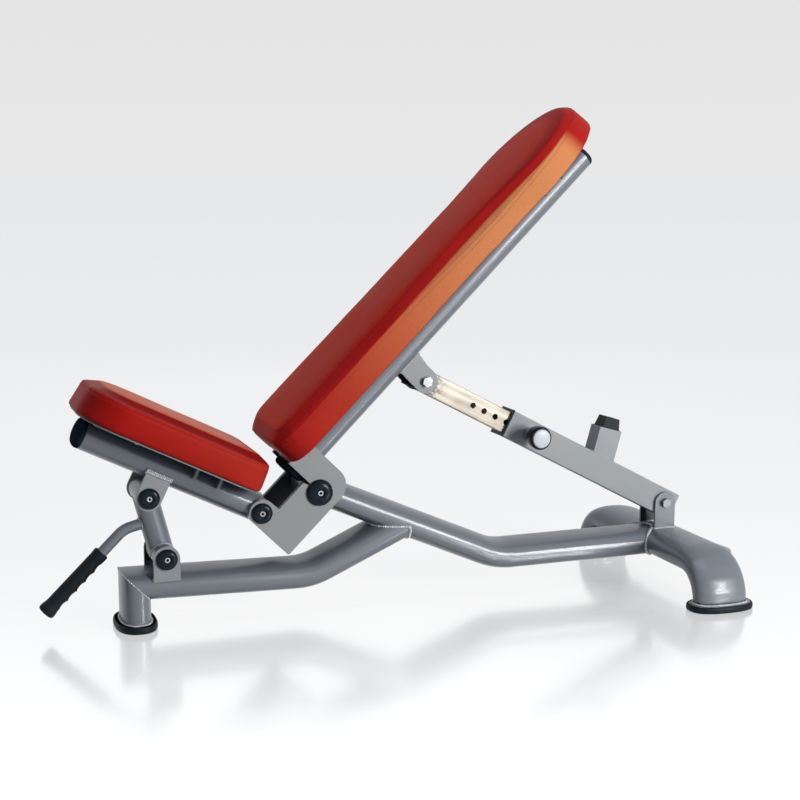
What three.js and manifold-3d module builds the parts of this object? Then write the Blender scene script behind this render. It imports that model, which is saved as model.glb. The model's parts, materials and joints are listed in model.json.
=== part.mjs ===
// Adjustable weight bench: an oval-tube base, a backrest and a seat that tilt together
// through a front link, and a telescopic strut with a pull pin that sets the angle.
// Millimetres, +Z up, +X toward the rear stabilizer, +Y to the far side.
// The origin is the centre of the front foot's sole, on the floor.

import * as THREE from "three";
import { mergeVertices } from "three/addons/utils/BufferGeometryUtils.js";
import Module from "manifold-3d";

const wasm = await Module();
wasm.setup();

// Fits
const seatGap = 0.3; // between pieces that rest on or are welded to each other
const boltPlay = 0.35; // radial play of a bolt in its bore

// Frame tube: a flat-sided oval, wide across the bench
const tubeWide = 100;
const tubeThin = 50;
const tubeWall = 3;
const ovalPower = 2.5;
const ovalSides = 32;
const boreSides = 16;

// Feet
const footHeight = 12;
const footRim = 10.6; // rubber beyond the tube all round
const footRound = 3;
const footFloor = 8.7; // rubber under the flange
const flangeThick = 3;
const flangeRim = 7; // flange beyond the tube all round

// Base frame, side view
const frontRailRise = 73.6; // tube axis above the floor at the front post
const kneeX = 301;
const kneeZ = 68.6;
const branchX = 476; // where the lower rail runs into the upper rail
const railBend = 120;
const rearBendX = 649;
const rearBendZ = 72.5;
const stabilizerX = 987;
const stabilizerZ = 76.2;
const footSpread = 229.6; // from the bench's middle to a rear foot's middle
const footStraight = 0.7; // straight tube above a rear foot
const swellOut = 12; // how far the formed elbow swells beyond the tube's rear side
const swellLong = 23;
const swellFromFoot = 76; // middle of the swelling from the foot, toward the bench's middle
const swellHigh = 25;

// Main pivot, seat pivot and front link pivots
const backPivotX = 308;
const backPivotZ = 220;
const backAngle = 45.18; // backrest above level
const seatPivotDown = 91.5; // below the main pivot, along the backrest
const seatPivotOut = 50.9; // in front of the main pivot, toward the pad
const seatAngle = 26.1; // seat above level, front end up
const linkPivotX = 47.3;
const linkPivotZ = 122.2;
const seatEarAlong = 184; // seat pivot to the upper link pivot, along the seat
const seatEarDrop = 50; // and below it

// Pivot hardware
const mainBolt = 16;
const pivotBolt = 12;
const boltTip = 9.4; // socket end that shows in a cap
const socketWide = 5;
const socketDeep = 4;
const mainCap = 45.6;
const mainCapRise = 10;
const pivotCap = 35.4;
const pivotCapRise = 8;
const hubPlay = 0.3; // hub end to plate or ear
const hubRadius = 22;

// Side plates of the backrest
const plateInner = tubeWide / 2 + seatGap; // the plates lie against the tubes
const plateThick = 10;
const plateTabTop = 74.6;
const plateTabLong = 50.5;
const plateHeel = 36; // plate behind the main pivot
const plateHeelRound = 33;
const plateTip = 34.5;
const plateTipRound = 4;
const plateLobe = 22;
const notchOut = 33;
const notchTop = 7;
const slitTop = 3.5;
const slitOut = 23;

// Backrest tube and pad
const backTubeOut = 49; // tube axis in front of the main pivot
const backTubeStart = 3;
const backTubeEnd = 748;
const backTubeFloor = 4;
const plugRise = 8;
const plugRound = 5;
const plugStem = 22;
const padBracketTop = 674;
const padBracketBottom = 170;
const padBracketLong = 46;
const padBracketHalf = 86;
const padBracketThick = 6;
const padBracketRise = 2.2; // bracket face above the tube's face
const boardThick = 15;
const boardInset = 5;
const padBottom = 8;
const padCorner = 45;
const padFootHalf = 115;
const padWaistHalf = 107;
const padWaistAt = 545;
const padHeadHalf = 110;
const padHeadAt = 645;
const padTop = 805;
const padBand = 44.5; // height of the pad's side band
const padBevelRise = 12.5;
const padBevelInset = 28;

// Seat tube and pad
const seatTubeOut = 1.6; // tube axis above the seat pivot
const seatTubeEnd = 322;
const seatPlateFrom = 35;
const seatPlateTo = 320;
const seatPlateHalf = 70;
const seatPlateThick = 5;
const gussetAt = [131, 87];
const gussetThick = 5;
const gussetHalf = 60;
const gussetDrop = 17;
const seatPadFrom = 18.5;
const seatPadTo = 359;
const seatPadHalf = 116;
const seatPadFrontCorner = 78;
const seatPadRearCorner = 52;
const seatBand = 48;
const seatBevelRise = 11;

// Ears of the front link
const linkEarInner = 44.5;
const linkEarThick = 6;
const linkEarHalf = 22.3;
const seatEarHalf = 21.8;
const linkEarFoot = 12; // ear foot above the rail's axis
const seatEarFoot = 12; // ear foot below the seat tube's axis

// Front link and its handle
const linkTube = 42.4;
const linkHub = 40;
const linkWall = 3;
const rodWide = 19;
const rodWall = 2.5;
const rodRise = 59.3; // handle rod above the lower link pivot, along the link
const rodReach = 49.3;
const rodDroop = 30.2; // the grip points down by this much, from square to the link
const rodLong = 183;
const rodBend = 45;
const gripLong = 131;
const gripWide = 25.6;
const gripFlare = 29.6;
const gripEnd = 5;
const gripFlareLong = 15; // end of the outer flare
const gripCollarLong = 18; // start of the inner flare, from the grip's inner end

// Strut ears, strut and clevis
const strutPivotX = 985;
const strutPivotZ = 148;
const strutEarInner = 26;
const strutEarThick = 5;
const strutEarHalf = 20.5;
const strutEarFoot = 17; // ear foot above the stabilizer's axis
const strutBolt = 10;
const boltHeadAcross = 17;
const boltHeadRise = 8;
const clevisAlong = 268.7; // main pivot to the clevis pin, along the backrest
const clevisDrop = 19.2;
const clevisEarHalf = 21.5;
const clevisEarTop = 30;
const clevisFlareAbove = 26; // ear's foot past the clevis pin, up the tube
const clevisFlareBelow = 20.2; // and down the tube
const strutSquare = 50;
const strutWall = 3;
const strutTail = 24; // outer tube past its pivot
const strutMouth = 355.6;
const innerSquare = 40;
const innerWall = 3;
const innerNose = 24; // inner tube past the clevis pin
const innerLong = 290;
const holePitch = 24;
const holeCount = 7;
const holeWide = 10.6;
const pinFromPivot = 312; // pull pin from the strut's lower pivot
const collarLip = 3.6;
const collarRim = 1;
const collarSleeve = 40;
const postWide = 46; // along the strut
const postDeep = 38;
const postWall = 3;
const postFrom = 147; // stop post's foot from the strut's lower pivot
const postLean = 12;
const postTop = 78;
const bumperRise = 20;
const bumperWide = 34;
const bumperDeep = 36;
const bumperTaper = 3;
const bumperStem = 14;

// Pull pin
const pinWide = 9.8;
const pinShort = 0.4; // pin or bolt end to the inner tube's face
const barrelWide = 25;
const barrelLong = 29;
const barrelPlay = 0.3;
const knobWide = 42;
const knobLong = 24;
const knobGap = 2;
const knobCapWide = 33;
const knobCapRise = 4;

const degrees = Math.PI / 180;
const xAxis = new THREE.Vector3(1, 0, 0);
const yAxis = new THREE.Vector3(0, 1, 0);

const materials = {
  paint: new THREE.MeshStandardMaterial({ color: 0x84868d, roughness: 0.35, metalness: 0.7 }),
  plate: new THREE.MeshStandardMaterial({ color: 0x9a9ca2, roughness: 0.4, metalness: 0.6 }),
  zinc: new THREE.MeshStandardMaterial({ color: 0xd8cfb8, roughness: 0.3, metalness: 0.9 }),
  steel: new THREE.MeshStandardMaterial({ color: 0xc9cbd0, roughness: 0.2, metalness: 1 }),
  black: new THREE.MeshStandardMaterial({ color: 0x101317, roughness: 0.4, metalness: 0 }),
  rubber: new THREE.MeshStandardMaterial({ color: 0x14171a, roughness: 0.7, metalness: 0 }),
  white: new THREE.MeshStandardMaterial({ color: 0xd9dce4, roughness: 0.3, metalness: 0 }),
  vinyl: new THREE.MeshStandardMaterial({ color: 0xb3261c, roughness: 0.5, metalness: 0 }),
  wood: new THREE.MeshStandardMaterial({ color: 0xb58f5e, roughness: 0.8, metalness: 0 }),
};

// Solids and meshes

function toSolid(geometry) {
  const bare = geometry.clone();
  bare.deleteAttribute("normal");
  bare.deleteAttribute("uv");
  const merged = mergeVertices(bare, 1e-4);
  const vertProperties = new Float32Array(merged.attributes.position.array);
  const triVerts = new Uint32Array(merged.index.array);
  return new wasm.Manifold(new wasm.Mesh({ numProp: 3, vertProperties, triVerts }));
}

function toGeometry(solid) {
  const mesh = solid.getMesh();
  const geometry = new THREE.BufferGeometry();
  geometry.setAttribute("position", new THREE.BufferAttribute(mesh.vertProperties, 3));
  geometry.setIndex(new THREE.BufferAttribute(mesh.triVerts, 1));
  geometry.computeVertexNormals();
  return geometry;
}

function addPiece(group, name, solid, material) {
  const mesh = new THREE.Mesh(toGeometry(solid), material);
  mesh.name = name;
  group.add(mesh);
  return mesh;
}

// A group at a point of the side view, turned about +Y
function sideGroup(parent, x, z, turn) {
  const group = new THREE.Group();
  group.position.set(x, 0, z);
  group.rotation.y = turn;
  parent.add(group);
  return group;
}

function box(x0, x1, y0, y1, z0, z1) {
  const geometry = new THREE.BoxGeometry(x1 - x0, y1 - y0, z1 - z0);
  geometry.translate((x0 + x1) / 2, (y0 + y1) / 2, (z0 + z1) / 2);
  return toSolid(geometry);
}

// A cylinder along Y
function crossPin(x, z, radius, y0, y1, sides = 24) {
  const geometry = new THREE.CylinderGeometry(radius, radius, y1 - y0, sides);
  geometry.translate(x, (y0 + y1) / 2, z);
  return toSolid(geometry);
}

// A turned piece about Y: its profile lists [radius, y] and starts and ends on the axis
function turned(profile, sides = 24) {
  const points = profile.map(([radius, y]) => new THREE.Vector2(radius, y));
  return toSolid(new THREE.LatheGeometry(points, sides));
}

// The half of space on the side that the direction points to
function halfSpace(point, direction) {
  const size = 4000;
  const geometry = new THREE.BoxGeometry(size, size, size);
  geometry.translate(0, 0, size / 2);
  const turn = new THREE.Quaternion().setFromUnitVectors(
    new THREE.Vector3(0, 0, 1),
    direction.clone().normalize(),
  );
  geometry.applyQuaternion(turn);
  geometry.translate(point.x, point.y, point.z);
  return toSolid(geometry);
}

// A closed outline from corners [x, y, radius], with round corners
function roundedOutline(corners, steps = 6) {
  const points = [];
  corners.forEach(([x, y, radius], i) => {
    const corner = new THREE.Vector2(x, y);
    if (!radius) {
      points.push(corner);
      return;
    }
    const [beforeX, beforeY] = corners[(i + corners.length - 1) % corners.length];
    const [afterX, afterY] = corners[(i + 1) % corners.length];
    const back = new THREE.Vector2(beforeX - x, beforeY - y).normalize();
    const ahead = new THREE.Vector2(afterX - x, afterY - y).normalize();
    const half = Math.acos(THREE.MathUtils.clamp(back.dot(ahead), -1, 1)) / 2;
    const middle = back.clone().add(ahead).normalize();
    const centre = corner.clone().addScaledVector(middle, radius / Math.sin(half));
    const start = corner.clone().addScaledVector(back, radius / Math.tan(half)).sub(centre);
    const end = corner.clone().addScaledVector(ahead, radius / Math.tan(half)).sub(centre);
    const sweep = Math.atan2(start.cross(end), start.dot(end));
    for (let k = 0; k <= steps; k++) {
      const spoke = start.clone().rotateAround(new THREE.Vector2(), (sweep * k) / steps);
      points.push(centre.clone().add(spoke));
    }
  });
  return new THREE.Shape(points);
}

// A plate whose outline lies in X and Z, from y0 to y1
function sidePlate(shape, y0, y1) {
  const geometry = new THREE.ExtrudeGeometry(shape, { depth: y1 - y0, bevelEnabled: false });
  geometry.rotateX(90 * degrees);
  geometry.translate(0, y1, 0);
  return toSolid(geometry);
}

// A flat piece whose outline lies in X and Y, from z0 to z1
function flatPlate(shape, z0, z1) {
  const geometry = new THREE.ExtrudeGeometry(shape, { depth: z1 - z0, bevelEnabled: false });
  geometry.translate(0, 0, z0);
  return toSolid(geometry);
}

function ovalShape(wide, thin, sides = ovalSides) {
  const points = [];
  for (let i = 0; i < sides; i++) {
    const turn = (i / sides) * 2 * Math.PI;
    const across = Math.cos(turn);
    const up = Math.sin(turn);
    points.push(
      new THREE.Vector2(
        (wide / 2) * Math.sign(across) * Math.abs(across) ** (2 / ovalPower),
        (thin / 2) * Math.sign(up) * Math.abs(up) ** (2 / ovalPower),
      ),
    );
  }
  return new THREE.Shape(points);
}

function roundShape(wide, sides = 16) {
  return new THREE.Shape(new THREE.EllipseCurve(0, 0, wide / 2, wide / 2).getPoints(sides).slice(1));
}

// A route through corners with round bends, in the plane square to "across"
class Route extends THREE.Curve {
  constructor(corners, bends, across, steps = 6) {
    super();
    this.across = across;
    this.stops = [];
    this.headings = [];
    const last = corners.length - 1;
    const heading = (i) => corners[i + 1].clone().sub(corners[i]).normalize();
    this.addStop(corners[0], heading(0));
    for (let i = 1; i < last; i++) {
      const into = heading(i - 1);
      const out = heading(i);
      const turn = into.angleTo(out);
      const side = out.clone().addScaledVector(into, -into.dot(out)).normalize();
      const start = corners[i].clone().addScaledVector(into, -bends[i - 1] * Math.tan(turn / 2));
      for (let k = 0; k <= steps; k++) {
        const angle = (turn * k) / steps;
        const spot = start
          .clone()
          .addScaledVector(into, bends[i - 1] * Math.sin(angle))
          .addScaledVector(side, bends[i - 1] * (1 - Math.cos(angle)));
        const way = into.clone().multiplyScalar(Math.cos(angle));
        this.addStop(spot, way.addScaledVector(side, Math.sin(angle)));
      }
    }
    this.addStop(corners[last], heading(last - 1));
  }

  addStop(point, heading) {
    this.stops.push(point.clone());
    this.headings.push(heading.clone());
  }

  getSpacedPoints() {
    return this.stops;
  }

  computeFrenetFrames() {
    const binormals = this.headings.map((way) => new THREE.Vector3().crossVectors(way, this.across));
    const normals = this.headings.map(() => this.across.clone());
    return { tangents: this.headings, normals, binormals };
  }
}

function sweep(shape, corners, bends, across, steps) {
  const extrudePath = new Route(corners, bends, across, steps);
  return toSolid(
    new THREE.ExtrudeGeometry(shape, {
      steps: extrudePath.stops.length - 1,
      extrudePath,
      bevelEnabled: false,
    }),
  );
}

// An oval tube along a route: its outer body, the same body grown by the seat gap, and its bore
function ovalTube(corners, bends, across, boreFrom = 1, boreTo = 1) {
  const last = corners.length - 1;
  const bore = corners.map((corner) => corner.clone());
  const first = corners[0].clone().sub(corners[1]).normalize();
  const final = corners[last].clone().sub(corners[last - 1]).normalize();
  bore[0].addScaledVector(first, boreFrom);
  bore[last].addScaledVector(final, boreTo);
  const grown = 2 * seatGap;
  const thinner = 2 * tubeWall;
  return {
    body: sweep(ovalShape(tubeWide, tubeThin), corners, bends, across),
    grown: sweep(ovalShape(tubeWide + grown, tubeThin + grown), corners, bends, across),
    bore: sweep(ovalShape(tubeWide - thinner, tubeThin - thinner, boreSides), bore, bends, across, 4),
  };
}

function at(x, z, y = 0) {
  return new THREE.Vector3(x, y, z);
}

const bench = new THREE.Group();
bench.name = "adjustable_bench";

// Places that several groups share, in the side view
const backTurn = -backAngle * degrees;
const seatTurn = seatAngle * degrees;
const backSpot = (along, out) =>
  at(along, out).applyAxisAngle(yAxis, backTurn).add(at(backPivotX, backPivotZ));
const seatPivot = backSpot(-seatPivotDown, seatPivotOut);
const clevisPin = backSpot(clevisAlong, -clevisDrop);
const upperLink = at(-seatEarAlong, -seatEarDrop).applyAxisAngle(yAxis, seatTurn).add(seatPivot);
const lowerLink = at(linkPivotX, linkPivotZ);
const linkLong = upperLink.distanceTo(lowerLink);
const linkTurn = Math.atan2(upperLink.x - lowerLink.x, upperLink.z - lowerLink.z);
const strutPivot = at(strutPivotX, strutPivotZ);
const strutLong = clevisPin.distanceTo(strutPivot);
const strutTurn = Math.atan2(clevisPin.z - strutPivot.z, strutPivot.x - clevisPin.x);
const boltTipRadius = boltTip / 2;

// A bolt along Y with a socket in each end and a domed cap over each side
function cappedBolt(group, name, x, z, shank, faceY, cap, capRise) {
  const tip = faceY + capRise - 2;
  const bolt = turned([
    [0, -tip],
    [boltTipRadius, -tip],
    [boltTipRadius, -faceY],
    [shank / 2, -faceY],
    [shank / 2, faceY],
    [boltTipRadius, faceY],
    [boltTipRadius, tip],
    [0, tip],
  ]);
  const sockets = [-1, 1].map((side) =>
    crossPin(0, 0, socketWide / 2, ...ordered(side * (tip - socketDeep), side * (tip + 1)), 6),
  );
  const cut = sockets.reduce((solid, socket) => solid.subtract(socket), bolt);
  addPiece(group, name + "_bolt", cut, materials.steel).position.set(x, 0, z);
  for (const side of [-1, 1]) {
    const mesh = addPiece(group, name + "_cap_" + sideName(side), domedCap(cap, capRise), materials.black);
    mesh.position.set(x, side * (faceY + seatGap), z);
    mesh.rotation.x = side < 0 ? Math.PI : 0;
  }
}

function sideName(side) {
  return side < 0 ? "near" : "far";
}

function ordered(a, b) {
  return [Math.min(a, b), Math.max(a, b)];
}

// A domed cap on Y = 0, rising along +Y, with a hole for the bolt's tip
function domedCap(wide, rise) {
  const radius = wide / 2;
  const hole = boltTipRadius + seatGap;
  const edge = 2;
  const profile = [
    [hole, 0],
    [radius, 0],
    [radius, edge],
  ];
  const lip = hole + 2;
  for (let k = 1; k <= 4; k++) {
    const turn = (k / 4) * 90 * degrees;
    profile.push([
      lip + (radius - lip) * Math.cos(turn) ** 0.8,
      edge + (rise - edge) * Math.sin(turn),
    ]);
  }
  profile.push([hole, rise - 1.5]);
  profile.push([hole, 0]);
  return turned(profile);
}

// Base frame

const base = new THREE.Group();
bench.add(base);

const soleTop = footFloor + seatGap + flangeThick;
const tubeFoot = soleTop + seatGap;
const frontCorner = at(0, frontRailRise);
const knee = at(kneeX, kneeZ);
const rearBend = at(rearBendX, rearBendZ);
const backPivot = at(backPivotX, backPivotZ);
const stabilizerAxis = at(stabilizerX, stabilizerZ);
const branch = backPivot
  .clone()
  .lerp(rearBend, (branchX - backPivotX) / (rearBendX - backPivotX));

const stabilizerBend = stabilizerZ - tubeFoot - footStraight;
const stabilizerTube = ovalTube(
  [
    at(stabilizerX, tubeFoot, -footSpread),
    at(stabilizerX, stabilizerZ, -footSpread),
    at(stabilizerX, stabilizerZ, footSpread),
    at(stabilizerX, tubeFoot, footSpread),
  ],
  [stabilizerBend, stabilizerBend],
  xAxis,
);

function elbowSwell(side) {
  const geometry = new THREE.SphereGeometry(1, 20, 10);
  geometry.scale((tubeWide + swellOut) / 2, swellLong, swellHigh);
  geometry.rotateX(side * -20 * degrees);
  geometry.translate(stabilizerX + swellOut / 2, side * (footSpread - swellFromFoot), stabilizerZ - 2);
  return toSolid(geometry);
}

const stabilizer = stabilizerTube.body
  .add(elbowSwell(-1))
  .add(elbowSwell(1))
  .subtract(stabilizerTube.bore);

const upperTube = ovalTube(
  [backPivot, rearBend, at(stabilizerX - 0.3 * tubeThin, stabilizerZ)],
  [railBend],
  yAxis,
  1,
  1,
);
const mainHub = crossPin(backPivotX, backPivotZ, hubRadius, hubPlay - plateInner, plateInner - hubPlay);
const mainBore = crossPin(backPivotX, backPivotZ, mainBolt / 2 + boltPlay, -plateInner, plateInner);
const upperRail = upperTube.body
  .subtract(upperTube.bore)
  .add(mainHub)
  .subtract(mainBore)
  .subtract(stabilizerTube.grown);

const mitreDown = new THREE.Vector3(-1, 0, -1);
const mitreUp = new THREE.Vector3(1, 0, 1);
const mitreGap = mitreUp.clone().normalize().multiplyScalar(seatGap / 2);
const startSlope = knee.clone().sub(frontCorner).normalize();
const lowerStart = frontCorner.clone().addScaledVector(startSlope, -tubeThin);
const lowerTube = ovalTube([lowerStart, knee, branch], [railBend], yAxis);
const lowerRail = lowerTube.body
  .subtract(lowerTube.bore)
  .subtract(halfSpace(frontCorner.clone().add(mitreGap), mitreDown))
  .subtract(upperTube.grown);

const postTube = ovalTube([at(0, tubeFoot), at(0, frontRailRise + tubeThin)], [], yAxis);
const frontPost = postTube.body
  .subtract(postTube.bore)
  .subtract(halfSpace(frontCorner.clone().sub(mitreGap), mitreUp));

addPiece(base, "front_post", frontPost, materials.paint);
addPiece(base, "lower_rail", lowerRail, materials.paint);
addPiece(base, "upper_rail", upperRail, materials.paint);
addPiece(base, "stabilizer", stabilizer, materials.paint);

// Foot and flange, with the oval's wide side along X or Y
function foot(x, y, wideX, name) {
  const outline = (rim) =>
    wideX
      ? ovalShape(tubeWide + 2 * rim, tubeThin + 2 * rim)
      : ovalShape(tubeThin + 2 * rim, tubeWide + 2 * rim);
  const rounded = new THREE.ExtrudeGeometry(outline(footRim), {
    depth: footHeight - 2 * footRound,
    bevelThickness: footRound,
    bevelSize: footRound,
    bevelOffset: -footRound,
    bevelSegments: 2,
  });
  rounded.translate(0, 0, footRound);
  const recess = flatPlate(outline(flangeRim + seatGap), footFloor, footHeight + 1);
  const pad = addPiece(base, name, toSolid(rounded).subtract(recess), materials.rubber);
  pad.position.set(x, y, 0);
  const flange = flatPlate(outline(flangeRim), footFloor + seatGap, soleTop);
  const plate = addPiece(base, name.replace("foot", "flange"), flange, materials.paint);
  plate.position.set(x, y, 0);
}

foot(0, 0, false, "front_foot");
foot(stabilizerX, -footSpread, true, "rear_foot_near");
foot(stabilizerX, footSpread, true, "rear_foot_far");

// Ears that carry the front link and the strut
for (const side of [-1, 1]) {
  const [y0, y1] = ordered(side * linkEarInner, side * (linkEarInner + linkEarThick));
  const railHere = frontRailRise + (startSlope.z / startSlope.x) * linkPivotX;
  const earBottom = railHere + linkEarFoot;
  const ear = sidePlate(
    roundedOutline([
      [linkPivotX - linkEarHalf, earBottom, 0],
      [linkPivotX + linkEarHalf, earBottom, 0],
      [linkPivotX + linkEarHalf, linkPivotZ + linkEarHalf, linkEarHalf - 0.1],
      [linkPivotX - linkEarHalf, linkPivotZ + linkEarHalf, linkEarHalf - 0.1],
    ]),
    y0,
    y1,
  )
    .subtract(crossPin(linkPivotX, linkPivotZ, pivotBolt / 2 + boltPlay, y0 - 1, y1 + 1))
    .subtract(lowerTube.grown);
  addPiece(base, "link_ear_" + sideName(side), ear, materials.plate);
}

for (const side of [-1, 1]) {
  const [y0, y1] = ordered(side * strutEarInner, side * (strutEarInner + strutEarThick));
  const ear = sidePlate(
    roundedOutline([
      [strutPivotX - strutEarHalf, stabilizerZ + strutEarFoot, 0],
      [strutPivotX + strutEarHalf, stabilizerZ + strutEarFoot, 0],
      [strutPivotX + strutEarHalf, strutPivotZ + strutEarHalf, strutEarHalf - 0.1],
      [strutPivotX - strutEarHalf, strutPivotZ + strutEarHalf, strutEarHalf - 0.1],
    ]),
    y0,
    y1,
  )
    .subtract(crossPin(strutPivotX, strutPivotZ, strutBolt / 2 + boltPlay, y0 - 1, y1 + 1))
    .subtract(stabilizerTube.grown)
    .subtract(upperTube.grown);
  addPiece(base, "strut_ear_" + sideName(side), ear, materials.plate);
}

const linkEarFace = linkEarInner + linkEarThick;
cappedBolt(base, "link_lower", linkPivotX, linkPivotZ, pivotBolt, linkEarFace, pivotCap, pivotCapRise);

// Strut bolt with a hexagon head on the near side and a nut on the far side
const strutEarFace = strutEarInner + strutEarThick;
const hexRadius = boltHeadAcross / Math.sqrt(3);
const headY = -strutEarFace - seatGap;
const strutBoltSolid = crossPin(0, 0, strutBolt / 2, headY - 1, strutEarFace + boltHeadRise + 3, 24).add(
  crossPin(0, 0, hexRadius, headY - boltHeadRise, headY, 6),
);
addPiece(base, "strut_bolt", strutBoltSolid, materials.steel).position.set(strutPivotX, 0, strutPivotZ);
const strutNut = crossPin(0, 0, hexRadius, strutEarFace + seatGap, strutEarFace + boltHeadRise, 6).subtract(
  crossPin(0, 0, strutBolt / 2 + seatGap, 0, strutEarFace + boltHeadRise + 1, 24),
);
addPiece(base, "strut_nut", strutNut, materials.steel).position.set(strutPivotX, 0, strutPivotZ);

// Backrest: X runs up along the pad and Z out to the pad, from the main pivot

const backrest = sideGroup(bench, backPivotX, backPivotZ, backTurn);
const plateFace = plateInner + plateThick;

for (const side of [-1, 1]) {
  const [y0, y1] = ordered(side * plateInner, side * plateFace);
  const lobeEdge = -seatPivotDown + plateLobe;
  const plate = sidePlate(
    roundedOutline([
      [-seatPivotDown - plateLobe, -plateTip, plateTipRound],
      [plateTabLong, -plateHeel, plateHeelRound],
      [plateTabLong, plateTabTop, 1.5],
      [0, plateTabTop, 1.5],
      [0, slitOut, 0],
      [-slitTop, slitOut, 0],
      [-notchTop, notchOut, 0],
      [lobeEdge + 2.5, notchOut, 1.5],
      [lobeEdge, seatPivotOut + plateLobe, plateLobe - 0.1],
      [-seatPivotDown - plateLobe, seatPivotOut + plateLobe, plateLobe - 0.1],
    ]),
    y0,
    y1,
  )
    .subtract(crossPin(0, 0, mainBolt / 2 + boltPlay, y0 - 1, y1 + 1))
    .subtract(crossPin(-seatPivotDown, seatPivotOut, pivotBolt / 2 + boltPlay, y0 - 1, y1 + 1));
  addPiece(backrest, "plate_" + sideName(side), plate, materials.plate);
}

const backTubeShape = ovalTube(
  [at(backTubeStart, backTubeOut), at(backTubeEnd, backTubeOut)],
  [],
  yAxis,
  -backTubeFloor,
);
addPiece(backrest, "back_tube", backTubeShape.body.subtract(backTubeShape.bore), materials.paint);

// An oval plug at the end of a tube that points along +X or -X
function tubePlug(x, z, way) {
  const head = new THREE.ExtrudeGeometry(ovalShape(tubeThin, tubeWide), {
    depth: plugRise - plugRound + plugStem,
    bevelThickness: plugRound,
    bevelSize: plugRound,
    bevelOffset: -plugRound,
    bevelSegments: 3,
  });
  head.translate(0, 0, -plugStem);
  head.rotateY(way * 90 * degrees);
  head.translate(x, 0, z);
  const open = tubeWall + seatGap;
  const stem = sweep(
    ovalShape(tubeWide - 2 * open, tubeThin - 2 * open, boreSides),
    [at(x - way * plugStem, z), at(x + way, z)],
    [],
    yAxis,
  );
  const face = at(x + way * seatGap, z);
  return toSolid(head)
    .subtract(halfSpace(face, xAxis.clone().multiplyScalar(-way)))
    .add(stem);
}

addPiece(backrest, "back_tube_plug", tubePlug(backTubeEnd, backTubeOut, 1), materials.black);

for (const side of [-1, 1]) {
  const [y0, y1] = ordered(side * strutEarInner, side * (strutEarInner + strutEarThick));
  const ear = sidePlate(
    roundedOutline([
      [clevisAlong - clevisEarHalf, -clevisDrop - clevisEarHalf, clevisEarHalf - 0.1],
      [clevisAlong + clevisEarHalf, -clevisDrop - clevisEarHalf, clevisEarHalf - 0.1],
      [clevisAlong + clevisEarHalf, 0, 0],
      [clevisAlong + clevisFlareAbove, clevisEarTop, 0],
      [clevisAlong - clevisFlareBelow, clevisEarTop, 0],
      [clevisAlong - clevisEarHalf, 0, 0],
    ]),
    y0,
    y1,
  )
    .subtract(crossPin(clevisAlong, -clevisDrop, pivotBolt / 2 + boltPlay, y0 - 1, y1 + 1))
    .subtract(backTubeShape.grown);
  addPiece(backrest, "clevis_ear_" + sideName(side), ear, materials.plate);
  const head = side * (strutEarFace + seatGap);
  const tip = side * (innerSquare / 2 + pinShort);
  const stub = crossPin(0, 0, pivotBolt / 2, ...ordered(tip, head + side)).add(
    crossPin(0, 0, hexRadius, ...ordered(head, head + side * boltHeadRise), 6),
  );
  const mesh = addPiece(backrest, side < 0 ? "clevis_bolt" : "clevis_nut", stub, materials.steel);
  mesh.position.set(clevisAlong, 0, -clevisDrop);
}

const backFace = backTubeOut + tubeThin / 2 + padBracketRise;
for (const [name, along] of [
  ["pad_bracket_upper", padBracketTop],
  ["pad_bracket_lower", padBracketBottom],
]) {
  const half = padBracketLong / 2;
  const strap = flatPlate(
    roundedOutline([
      [along - half, -padBracketHalf, 8],
      [along + half, -padBracketHalf, 8],
      [along + half, padBracketHalf, 8],
      [along - half, padBracketHalf, 8],
    ]),
    backFace - padBracketThick,
    backFace,
  );
  addPiece(backrest, name, strap.subtract(backTubeShape.grown), materials.paint);
}

// The backrest pad's outline, narrower all round by "inset"
function backOutline(inset) {
  const points = [];
  const bottom = padBottom + inset;
  const corner = padCorner - inset;
  const footHalf = padFootHalf - inset;
  for (let k = 0; k <= 6; k++) {
    const turn = (k / 6) * 90 * degrees;
    points.push([
      bottom + corner * (1 - Math.sin(90 * degrees - turn)),
      footHalf - corner * (1 - Math.sin(turn)),
    ]);
  }
  const waistHalf = padWaistHalf - inset;
  const headHalf = padHeadHalf - inset;
  const flank = new THREE.SplineCurve([
    new THREE.Vector2(bottom + corner, footHalf),
    new THREE.Vector2((padBottom + padWaistAt) / 2, (footHalf + waistHalf) / 2),
    new THREE.Vector2(padWaistAt, waistHalf),
    new THREE.Vector2(padHeadAt, headHalf),
  ]);
  for (const spot of flank.getPoints(9).slice(1)) points.push([spot.x, spot.y]);
  const headLong = padTop - padHeadAt - inset;
  for (let k = 1; k <= 9; k++) {
    const turn = (k / 9) * 90 * degrees;
    points.push([padHeadAt + headLong * Math.sin(turn), headHalf * Math.cos(turn)]);
  }
  const far = points.map(([x, y]) => new THREE.Vector2(x, y));
  const near = points.slice(0, -1).map(([x, y]) => new THREE.Vector2(x, -y));
  return new THREE.Shape([...near, ...far.reverse()]);
}

// The seat pad's outline; its front end points along -X
function seatOutline(inset) {
  const front = -seatPadTo + inset;
  const rear = -seatPadFrom - inset;
  const half = seatPadHalf - inset;
  const frontCorner = seatPadFrontCorner - inset;
  const rearCorner = seatPadRearCorner - inset;
  return roundedOutline(
    [
      [front, -half, frontCorner],
      [rear, -half, rearCorner],
      [rear, half, rearCorner],
      [front, half, frontCorner],
    ],
    9,
  );
}

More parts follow.
